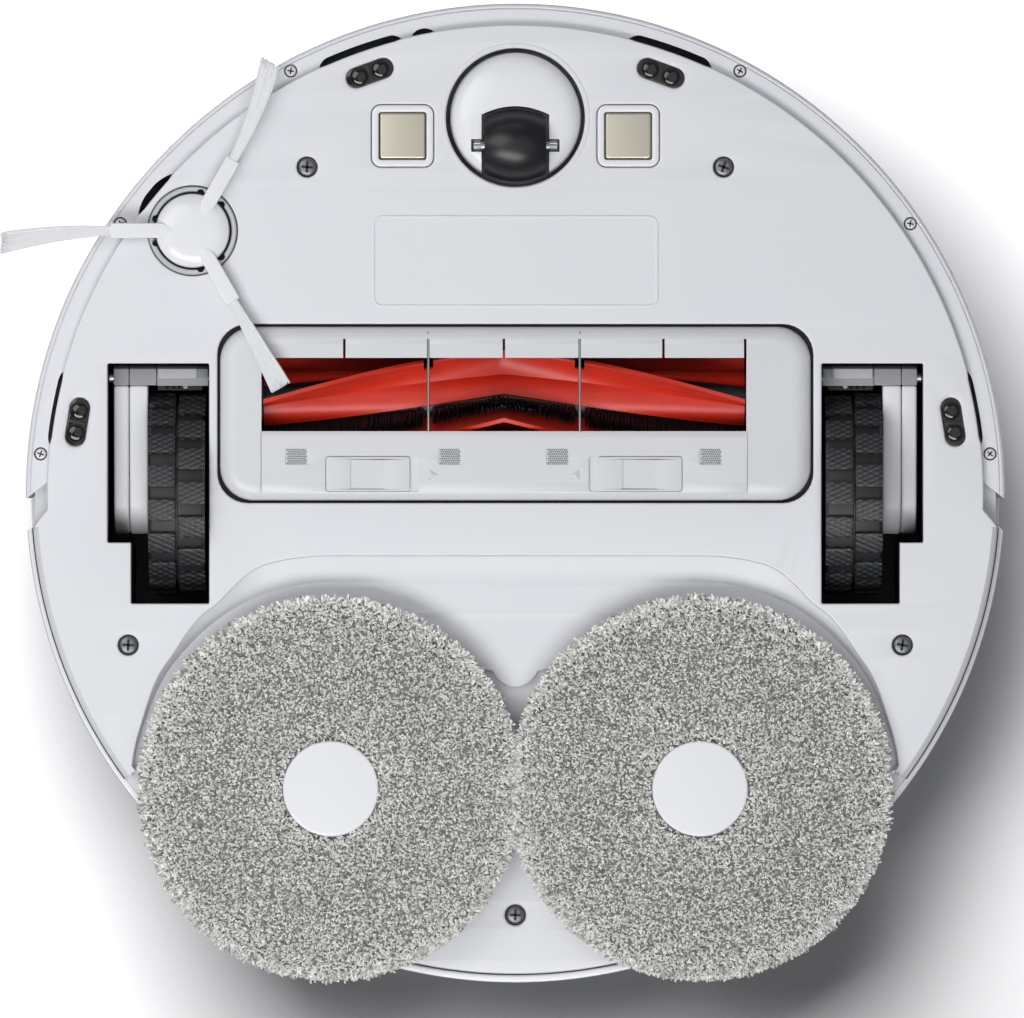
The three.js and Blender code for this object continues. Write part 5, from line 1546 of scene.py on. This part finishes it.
def tuftTree():
    # bends hairs along +X: each host vertex is a hair's root, with its lean and length
    tree = bpy.data.node_groups.new("bristle tuft", "GeometryNodeTree")
    face = tree.interface
    face.new_socket("Geometry", in_out="INPUT", socket_type="NodeSocketGeometry")
    sizes = {"Count": ("NodeSocketInt", 340), "Root": ("NodeSocketFloat", 0.026),
             "Tip": ("NodeSocketFloat", 0.0635),
             "Root Half Width": ("NodeSocketFloat", 0.0018),
             "Tip Half Width": ("NodeSocketFloat", 0.0042),
             "Root Height": ("NodeSocketFloat", 0.0055), "Tip Height": ("NodeSocketFloat", 0.0016),
             "Bend": ("NodeSocketFloat", 0.0), "Hair Radius": ("NodeSocketFloat", 0.00013),
             "Seed": ("NodeSocketInt", 1)}
    for label, (kind, value) in sizes.items():
        face.new_socket(label, in_out="INPUT", socket_type=kind).default_value = value
    face.new_socket("Finish", in_out="INPUT", socket_type="NodeSocketMaterial")
    face.new_socket("Geometry", in_out="OUTPUT", socket_type="NodeSocketGeometry")
    start = addNode(tree, "NodeGroupInput").outputs

    def maths(kind, a, b=None, c=None):
        node = tree.nodes.new("ShaderNodeMath")
        node.operation = kind
        for i, value in enumerate(v for v in (a, b, c) if v is not None):
            if isinstance(value, (int, float)):
                node.inputs[i].default_value = value
            else:
                tree.links.new(value, node.inputs[i])
        return node.outputs["Value"]

    points = addNode(tree, "GeometryNodePoints", links={"Count": start["Count"]})
    line = addNode(tree, "GeometryNodeCurvePrimitiveLine", {"Start": (0, 0, 0), "End": (1, 0, 0)})
    fine = addNode(tree, "GeometryNodeResampleCurve", {"Count": 7},
                   {"Curve": line.outputs["Curve"]})
    index = addNode(tree, "GeometryNodeInputIndex")
    kept = points
    # each hair's own numbers: where it stands across the tuft, its length and its depth
    for label, seedStep, low, high in (("across", 0, -1, 1), ("reach", 7, 0.9, 1.0),
                                       ("depth", 13, -1, 1)):
        own = addNode(tree, "FunctionNodeRandomValue", {2: low, 3: high}, {
            "ID": index.outputs["Index"], "Seed": maths("ADD", start["Seed"], seedStep)},
                      data_type="FLOAT")
        kept = addNode(tree, "GeometryNodeStoreNamedAttribute", {"Name": label},
                       {"Geometry": kept.outputs[0], "Value": own.outputs[1]}, data_type="FLOAT",
                       domain="POINT")
    copies = addNode(tree, "GeometryNodeInstanceOnPoints", links={
        "Points": kept.outputs["Geometry"], "Instance": fine.outputs["Curve"]})
    real = addNode(tree, "GeometryNodeRealizeInstances",
                   links={"Geometry": copies.outputs["Instances"]})
    named = {label: addNode(tree, "GeometryNodeInputNamedAttribute", {"Name": label},
                            data_type="FLOAT").outputs["Attribute"]
             for label in ("across", "reach", "depth")}
    along = addNode(tree, "GeometryNodeSplineParameter").outputs["Factor"]
    # x runs out along the hair, y fans and bends it, z brings it down to the floor
    out = maths("MULTIPLY", along, named["reach"])
    x = maths("MULTIPLY_ADD", out, maths("SUBTRACT", start["Tip"], start["Root"]), start["Root"])
    square = maths("MULTIPLY", out, out)
    spreadHalf = maths("MULTIPLY_ADD", out,
                       maths("SUBTRACT", start["Tip Half Width"], start["Root Half Width"]),
                       start["Root Half Width"])
    y = maths("ADD", maths("MULTIPLY", named["across"], spreadHalf),
              maths("MULTIPLY", square, start["Bend"]))
    z = maths("MULTIPLY_ADD", out, maths("SUBTRACT", start["Tip Height"], start["Root Height"]),
              start["Root Height"])
    z = maths("MULTIPLY_ADD", named["depth"], 0.0008, z)
    place = addNode(tree, "ShaderNodeCombineXYZ", links={"X": x, "Y": y, "Z": z})
    moved = addNode(tree, "GeometryNodeSetPosition", links={
        "Geometry": real.outputs["Geometry"], "Position": place.outputs["Vector"]})
    profile = addNode(tree, "GeometryNodeCurvePrimitiveCircle", {"Resolution": 4},
                      {"Radius": start["Hair Radius"]})
    tube = addNode(tree, "GeometryNodeCurveToMesh", {"Fill Caps": True}, {
        "Curve": moved.outputs["Geometry"], "Profile Curve": profile.outputs["Curve"]})
    painted = addNode(tree, "GeometryNodeSetMaterial", links={
        "Geometry": tube.outputs["Mesh"], "Material": start["Finish"]})
    addNode(tree, "NodeGroupOutput", links={"Geometry": painted.outputs["Geometry"]})
    return tree


bristleTuft = tuftTree()


def makeTuft(index, turn):
    host = link(bpy.data.objects.new(f"bristles_{index}", bpy.data.meshes.new(f"bristles_{index}")))
    mod = host.modifiers.new("tuft", "NODES")
    mod.node_group = bristleTuft
    setInputs(mod, bristleTuft, {
        "Count": brush["hairs"], "Root": (brush["armReach"] - 3.5) * mm,
        "Tip": brush["tip"][turn] * mm,
        "Root Half Width": brush["fanAtRoot"] * mm, "Tip Half Width": brush["fanAtTip"] * mm,
        "Root Height": 5.5 * mm,
        "Tip Height": 1.5 * mm, "Bend": brush["bend"][turn] * mm,
        "Hair Radius": brush["hairRadius"] * mm, "Seed": 20 + index, "Finish": whiteFilament})
    return smoothByAngle(ontoSweeper(bakedCopy(host), turn), 60)


def makeCollar():
    low, top = brush["collarLow"], brush["collarTop"]
    inner, outer = brush["collarIn"], sweeper["collar"]
    profile = [(inner, low + 0.9), (inner + 0.3, low + 0.2), (inner + 0.7, low), (outer - 0.5, low),
               (outer - 0.05, low + 0.4), (outer - 0.05, top), (inner, top)]
    ring = turned("side_brush_ring", profile, ringSilver, (sweeper["x"], sweeper["y"], 0), 128,
                  angle=30)
    cutters = []
    notch = [(0.01, low - 1), (1.35, low - 1), (1.35, top + 0.2), (0.01, top + 0.2)]
    for turn in brush["arms"]:
        for lean in (-18, 18):
            cutters.append(turned("trim", notch, None, (*turnedXY(inner - 0.1, 0, turn + lean), 0),
                                  24))
    ring["angle"] = 30
    # painted shade: a black ring behind the collar, seen through the gap round the hub and through
    # the notches
    dark = turned("backing",
                  [(11.0, top + 0.1), (outer, top + 0.1), (outer, top + 0.6), (11.0, top + 0.6)],
                  blackAbs, (sweeper["x"], sweeper["y"], 0), 96)
    return joined("side_brush_ring", [cutAway(ring, *cutters), dark])


mount(makeSweeperHub(), "side_brush", "white_abs", "side_brush_hub")
for turn, number in brush["arms"].items():
    mount(makeTuft(number, turn), "side_brush", "nylon_bristle", f"bristle_tuft_{number}")
mount(makeCollar(), "chassis", "steel", "side_brush_collar")
print("side brush made")


# ---- cliff sensors, charging contacts, screws and label panel

def makeSurround(name, x, y, tilt):
    # a soft sunken surround, from the belly down to the lens bed
    length, width, low, deep = sensor["length"], sensor["width"], belly["low"], 0.9
    outer = capsule(x, y, length + 1.7, width + 1.7, tilt)
    inner = capsule(x, y, length + 0.1, width + 0.1, tilt)
    rows = [(0.0, low + 0.02), (0.35, low + 0.1), (0.75, low + deep * 0.5), (1.0, low + deep),
            (1.0, low + deep + 1.6), (-0.05, low + deep + 1.6), (-0.05, low + 0.4)]
    return rimBetween(name, outer, inner, rows, glossWhite, 50)


def makeSensor(x, y, tilt):
    low = belly["low"]
    length, w, gap = sensor["length"], sensor["width"], sensor["lens"] / 2
    parts = [plate("lens_bed", [capsule(x, y, length, w, tilt)], low + 0.75, low + 9.5,
                   smokedAcrylic, 0.3, 2)]
    t = math.radians(tilt)
    for side in (-1, 1):
        cx, cy = x + side * gap * math.cos(t), y + side * gap * math.sin(t)
        dome = [(3.05 * sinDeg(a), low + 0.9 - 0.95 * cosDeg(a)) for a in frange(0, 90, 10)]
        dome[0] = (0.02, dome[0][1])
        parts.append(turned("dome", dome + [(3.05, low + 1.6), (0.02, low + 1.6)], smokedAcrylic,
                            (cx, cy, 0), 40, angle=40))
        ring = [(3.1, low + 0.75), (3.2, low + 0.5), (3.45, low + 0.5), (3.5, low + 0.75),
                (3.5, low + 1.2), (3.1, low + 1.2)]
        parts.append(turned("dome", ring, blackNylon, (cx, cy, 0), 40, angle=40))
    bar = [(-0.45, -w / 2 + 0.6), (0.45, -w / 2 + 0.6), (0.45, w / 2 - 0.6), (-0.45, w / 2 - 0.6)]
    outline = [(x + a * math.cos(t) - b * math.sin(t), y + a * math.sin(t) + b * math.cos(t))
               for a, b in bar]
    parts.append(plate("bar", [outline], low + 0.4, low + 1.0, blackNylon, 0.15, 1))
    return parts


for name, x, y, tilt in sensorPlaces():
    mount(joined("cliff_lens_" + name, makeSensor(x, y, tilt)), "chassis", "smoked_lens",
          "cliff_sensor_" + name)
    mount(makeSurround("cliff_surround_" + name, x, y, tilt), "chassis", "white_abs")


def makeContactFrame(name, x, y):
    half, r, low = contact["frame"] / 2, contact["frameCorner"], belly["low"]
    inner = contact["side"] / 2 + 0.35
    outer = roundedRect(x - half + 0.3, x + half - 0.3, y - half + 0.3, y + half - 0.3, r - 0.3, 8)
    hole = roundedRect(x - inner, x + inner, y - inner, y + inner, 0.9, 8)
    rows = [(0.0, low + 2.0), (0.0, low + 0.2), (0.05, low - 0.15), (0.14, low - 0.3),
            (0.72, low - 0.3), (0.9, low - 0.1), (1.0, low + 0.5), (1.0, low + 2.0)]
    return rimBetween(name, outer, hole, rows, glossWhite, 34)


def makeContactPlate(name, x, y):
    half, low = contact["side"] / 2, belly["low"]
    return plate(name, [roundedRect(x - half, x + half, y - half, y + half, 0.8, 4)], low - 0.38,
                 low + 2.6, nickelPlate, 0.6, 4)


for side, sign in sides.items():
    x, y = sign * contact["x"], contact["y"]
    mount(makeContactFrame("contact_frame_" + side, x, y), "chassis", "white_abs")
    mount(makeContactPlate("contact_plate_" + side, x, y), "chassis", "nickel",
          "charge_contact_" + side)


def crossHead(name, r, arm, width):
    # a pan head that faces down, with its cross recess
    profile = [(0.02, 0.0), (r * 0.6, 0.06), (r * 0.88, 0.3), (r, 0.8), (r, 1.6), (0.02, 1.6)]
    head = turned(name, profile, None, segments=40, angle=50)
    cutters = [block("trim", (-arm, arm), (-width, width), (-1, 0.8), None, 0.1, 1,
                     turn=(0, 0, turn)) for turn in (0, 90)]
    return smoothByAngle(cutAway(head, *cutters), 34)


def crossShade(arm, width):
    # a black floor in the cross recess: painted shade at the bottom of the cross
    parts = [block("cross", (-arm, arm), (-width, width), (0.55, 0.85), None, 0, turn=(0, 0, turn))
             for turn in (0, 90)]
    return joined("cross", parts)


# a black disc under each screw head, seen in the gap round it: painted shade in the hole
def seat(r):
    return turned("seat", [(0.02, 0.95), (r, 0.95), (r, 1.6), (0.02, 1.6)], None, segments=32)


def setScrews(body, places, r, hole, headFinish):
    arm, width = r * 0.62, r * 0.13
    spots = [spot(x, y, level, (0, 0, turn)) for x, y, turn, level in places]
    heads = repeated(body + "_screws", crossHead("head", r, arm, width), spots, headFinish,
                     repeatSmall, 40)
    mount(heads, body, "steel")
    # painted shade: black floors in the cross recesses
    dark = repeated("crosses", crossShade(arm, width), spots, blackAbs, repeatSmall, 30)
    # painted shade: black discs in the gaps round the heads
    seats = repeated("seats", seat(hole + 0.3), spots, blackAbs, repeatSmall, 40)
    mount(joined(body + "_screw_seats", [dark, seats]), body, "dark_abs")


setScrews("chassis", [(x, y, turn, z + 0.25) for x, y, turn, z in screws["chassis"]],
          screws["head"], screws["hole"],
          screwSteel)
setScrews("bumper", [(x, y, turn, bumper["low"] + 0.05) for x, y, turn in screws["bumper"]],
          screws["bumperHead"],
          screws["bumperHole"], screwWhite)

panel = {"x": 51.1, "front": -99.2, "rear": -66.3, "corner": 3.6, "rim": 0.95, "stand": 0.36}


def makePanel():
    # the blank rating-plate area: a low moulded rim
    x, y0, y1, r, w = panel["x"], panel["front"], panel["rear"], panel["corner"], panel["rim"]
    low = belly["low"]
    return plate("rating_panel_rim",
                 [roundedRect(-x, x, y0, y1, r), roundedRect(-x + w, x - w, y0 + w, y1 - w, r - w)],
                 low - panel["stand"], low + 0.3, whiteAbs, 0.3, 3)


mount(makePanel(), "chassis", "white_abs")
print("small parts made")


# ---- mop pads

pad = {
    "ringIn": 17.8, "ring": 65.8, "pile": 66.9,
    "fibres": 28500, "rimFibres": 3400, "yarns": 6, "loop": 1.55, "thickness": 0.35,
    "astray": 0.28,  # how far a tuft may stand off its place in the pattern
    "discRadius": 17.1, "discLow": 1.3, "plateRadius": 58.0,
}


def fibrePiece(rnd):
    # one curled tuft of yarn, standing on +z: three-sided, 14 triangles
    r, reach = pad["thickness"], pad["loop"]
    curl, side = rnd.uniform(0.7, 1.3), rnd.choice((-1, 1))
    path = []
    for k in range(3):
        t = k / 2
        a = 2.3 * curl * t
        path.append((reach * 0.62 * math.sin(a), side * reach * 0.3 * (1 - math.cos(a * 1.3)),
                     reach * (0.95 * t - 0.3 * t * t * curl)))
    points = []
    for (x, y, z), size in zip(path, (0.9 * r, 1.15 * r, 0.7 * r)):
        points += [(x + size * 0.6 * cosDeg(a), y + size * cosDeg(a), z + size * sinDeg(a))
                   for a in (90, 210, 330)]
    return solidFrom("fibre", points, skin(3, 3), None, 80)


def makePile(side, pieces):
    # the pile in three rings, so that no mesh is too heavy
    sign = sides[side]
    rnd = random.Random(40 + sign)
    cx, cy = sign * mop["x"], mop["y"]
    rings = ("inner", "middle", "outer")
    groups = {where: [[] for _ in pieces] for where in rings}
    golden, astray = 180 * (3 - math.sqrt(5)), pad["astray"]
    count = pad["fibres"] + pad["rimFibres"]
    for i in range(count):
        rim = i >= pad["fibres"]
        # evenly strewn as in a sunflower, a little off each place; the last ones stand out from
        # the rim
        share = (i + 0.5) / pad["fibres"]
        if rim:
            r = rnd.uniform(pad["ring"] - 0.6, pad["pile"] + 0.9)
        else:
            square = pad["ringIn"] ** 2 + (pad["pile"] ** 2 - pad["ringIn"] ** 2) * share
            r = math.sqrt(square) + rnd.uniform(-astray, astray)
        a = golden * i + rnd.uniform(-astray, astray) / r * 57.3
        x, y = r * cosDeg(a), r * sinDeg(a)
        out = 1.0 if rim else max(0.0, (r - pad["pile"] + 4) / 4)
        face = rnd.uniform(0, 360)
        if rnd.random() < out:
            face = a + rnd.uniform(-50, 50)
        size = rnd.uniform(0.85, 1.2)
        z = 2.5 + (2.3 * out * rnd.random() if rim or out > 0.5 else 0) + rnd.uniform(-0.3, 0.3)
        # a piece stands on +z and the pad hangs down, so it is turned over first; at the rim it
        # leans out
        lean = rnd.uniform(-34, 34)
        turn = (180 + rnd.uniform(-34, 34), lean - (rnd.uniform(30, 75) if rim else 45 * out), face)
        # mostly mid grey, with a few pale and a few dark tufts
        shade = rnd.gauss(0.55, 0.26)
        shade += 0.3 if rnd.random() < 0.1 else 0
        shade -= 0.5 if rnd.random() < 0.1 else 0
        where = rings[min(2, int(3 * i / count))]
        grow = size * (rnd.uniform(1.1, 1.6) if rim else 1.0)
        tuft = ((cx + x, cy + y, z), turn, (size, size, grow), min(1.0, max(0.0, shade)))
        groups[where][rnd.randrange(len(pieces))].append(tuft)
    for where, lots in groups.items():
        parts = [repeated("pile", piece, lot, mopPile, repeatSmall, 80, keepPiece=True)
                 for piece, lot in zip(pieces, lots)]
        mount(joined(f"mop_pile_{side}_{where}", parts), side + "_mop", "mop_cloth")


def makePadGround(side):
    # the knitted ring, crowned and drawn in at its edges
    sign = sides[side]
    a, b = pad["ringIn"], pad["ring"]
    profile = [(a, 4.9), (a + 0.3, 3.4), (a + 1.6, 2.5)]
    profile += [(r, 2.3 - 0.25 * math.sin(math.pi * (r - a) / (b - a)))
                for r in frange(a + 4, b - 5, 4)]
    profile += [(b - 2.2, 2.8), (b - 0.5, 3.7), (b, 4.7), (b - 0.6, 5.2), (a + 0.6, 5.3)]
    ring = turned("mop_ground_" + side, profile, mopGround, (sign * mop["x"], mop["y"], 0), 160,
                  angle=60)
    for v in ring.data.vertices:
        x, y = v.co.x / mm - sign * mop["x"], v.co.y / mm - mop["y"]
        turn, r = math.atan2(y, x), math.hypot(x, y)
        if r > b - 3:
            grow = 0.993 + 0.005 * math.sin(7 * turn + sign) + 0.002 * math.sin(17 * turn)
            v.co.x, v.co.y = (sign * mop["x"] + x * grow) * mm, (mop["y"] + y * grow) * mm
    return ring


def makeMopPlate(side):
    sign = sides[side]
    centre = (sign * mop["x"], mop["y"], 0)
    low, r = pad["discLow"], pad["discRadius"]
    profile = [(0.02, low), (r - 1.2, low), (r - 0.5, low + 0.15), (r - 0.1, low + 0.6),
               (r, low + 1.2), (r, 5.8),
               (pad["plateRadius"], 5.8), (pad["plateRadius"], 7.8), (6.0, 7.8), (6.0, 24.0),
               (0.02, 24.0)]
    return turned("mop_disc_" + side, profile, glossWhite, centre, 128, angle=30)


rnd = random.Random(5)
yarns = [fibrePiece(rnd) for _ in range(pad["yarns"])]
for side in sides:
    ground = makePadGround(side)
    mount(ground, side + "_mop", "mop_cloth", "mop_pad_" + side)
    makePile(side, yarns)
    mount(makeMopPlate(side), side + "_mop", "dark_abs", "mop_plate_" + side)
for yarn in yarns:
    bpy.data.objects.remove(yarn)
print("mops made")


# ---- laser turret and buttons

turret = {
    "y": 95.0, "base": 40.0, "baseLow": 80.3, "baseTop": 83.0, "capLow": 92.0, "capTop": 97.0,
    "postRadius": 37.0, "posts": [45, 135, 225, 315],
}


def makeTurret():
    c = (0, turret["y"], 0)
    r, z0, z1, z2, z3 = (turret[k] for k in ("base", "baseLow", "baseTop", "capLow", "capTop"))
    parts = [turned("ring",
                    [(5.2, z0), (r - 0.3, z0), (r, z0 + 0.3), (r, z1 - 0.8), (r - 0.8, z1),
                     (30, z1), (29, z1 - 0.8),
                             (5.2, z1 - 0.8)], greyAbs, c, 128)]
    cap = [(0.02, z2), (r - 1.2, z2), (r - 0.4, z2 + 0.5), (r, z2 + 1.4), (r - 0.2, z3 - 2.2),
           (r - 1.2, z3 - 0.8),
           (r - 3.4, z3 - 0.05), (r - 4.4, z3), (r - 5.4, z3 - 0.35), (12, z3 - 0.3),
           (0.02, z3 - 0.2)]
    parts.append(turned("cap", cap, glossWhite, c, 144, angle=28))
    for turn in turret["posts"]:
        x = turret["postRadius"] * cosDeg(turn)
        y = turret["y"] + turret["postRadius"] * sinDeg(turn)
        parts.append(block("post", (x - 1.9, x + 1.9), (y - 1.3, y + 1.3), (z1 - 0.6, z2 + 0.6),
                           greyAbs, 0.5, 2,
                           turn=(0, 0, turn + 90), about=(x, y, 0)))
    return joined("turret_cage", parts)


def makeRotor():
    c = (0, turret["y"], 0)
    body = turned("rotor",
                  [(0.02, 83.6), (26.8, 83.6), (27.8, 84.2), (28, 85), (28, 90), (27.6, 91),
                   (26.6, 91.4), (0.02, 91.4)],
                  blackAbs, c, 96, angle=30)
    body["angle"] = 30
    body = cutAway(body,
                   block("trim", (-40, 40), (turret["y"] - 40, turret["y"] - 25), (70, 100), None,
                         0))
    parts = [smoothByAngle(body, 30)]
    for x, r in ((-6.5, 4.0), (6.5, 3.0)):
        eye = turned("eye", [(0.02, -0.25), (r * 0.6, -0.1), (r, 0.4), (r, 1.4), (0.02, 1.4)],
                     smokedAcrylic, segments=32)
        spin = Matrix.Rotation(math.radians(-90), 4, "X")
        place = (x * mm, (turret["y"] - 25.0) * mm, 87.5 * mm)
        eye.data.transform(Matrix.Translation(place) @ spin)
        parts.append(eye)
    parts.append(turned("spindle", [(0.02, 79), (4, 79), (4, 84), (0.02, 84)], blackAbs, c, 24))
    return joined("turret_rotor", parts)


def makeButton(name, sign):
    x, y, _ = casing["button"]
    profile = [(0.02, 76.6), (6.7, 76.6), (7.0, 76.9), (7.0, 80.0), (6.7, 80.45), (6.0, 80.6),
               (4.5, 80.45), (0.02, 80.25)]
    return turned(name, profile, greyAbs, (sign * x, y, 0), 64, angle=30)


mount(makeTurret(), "chassis", "grey_abs", "lidar_cage")
mount(makeRotor(), "lidar_rotor", "dark_abs", "lidar_rotor")
mount(makeButton("power_key", 1), "power_button", "grey_abs", "power_button")
mount(makeButton("home_key", -1), "home_button", "grey_abs", "home_button")
print("turret and buttons made")


# ---- finishes on the parts that keep their own shape

keptFinishes = {
    "wheel_housing": housingAbs, "brush_housing": blackAbs, "roller_bearing": gearAbs,
    "suction_duct": blackAbs,
    "brush_gearmotor": blackNylon, "side_brush_motor": blackNylon, "mop_motor": blackNylon,
    "mop_sleeve": gearAbs,
    "pivot_pin": brightSteel, "suspension_spring": brightSteel, "dust_bin": binPlastic,
    "dust_filter": filterPaper,
    "battery_pack": batteryWrap, "main_board": circuitBoard, "fan_unit": blackAbs,
    "water_tank": binPlastic, "exhaust_grille": greyAbs, "cover_latch": coverAbs,
}
for name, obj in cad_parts.items():
    for start, finish in keptFinishes.items():
        if name.startswith(start):
            paint(obj, finish)
print("carried parts finished")
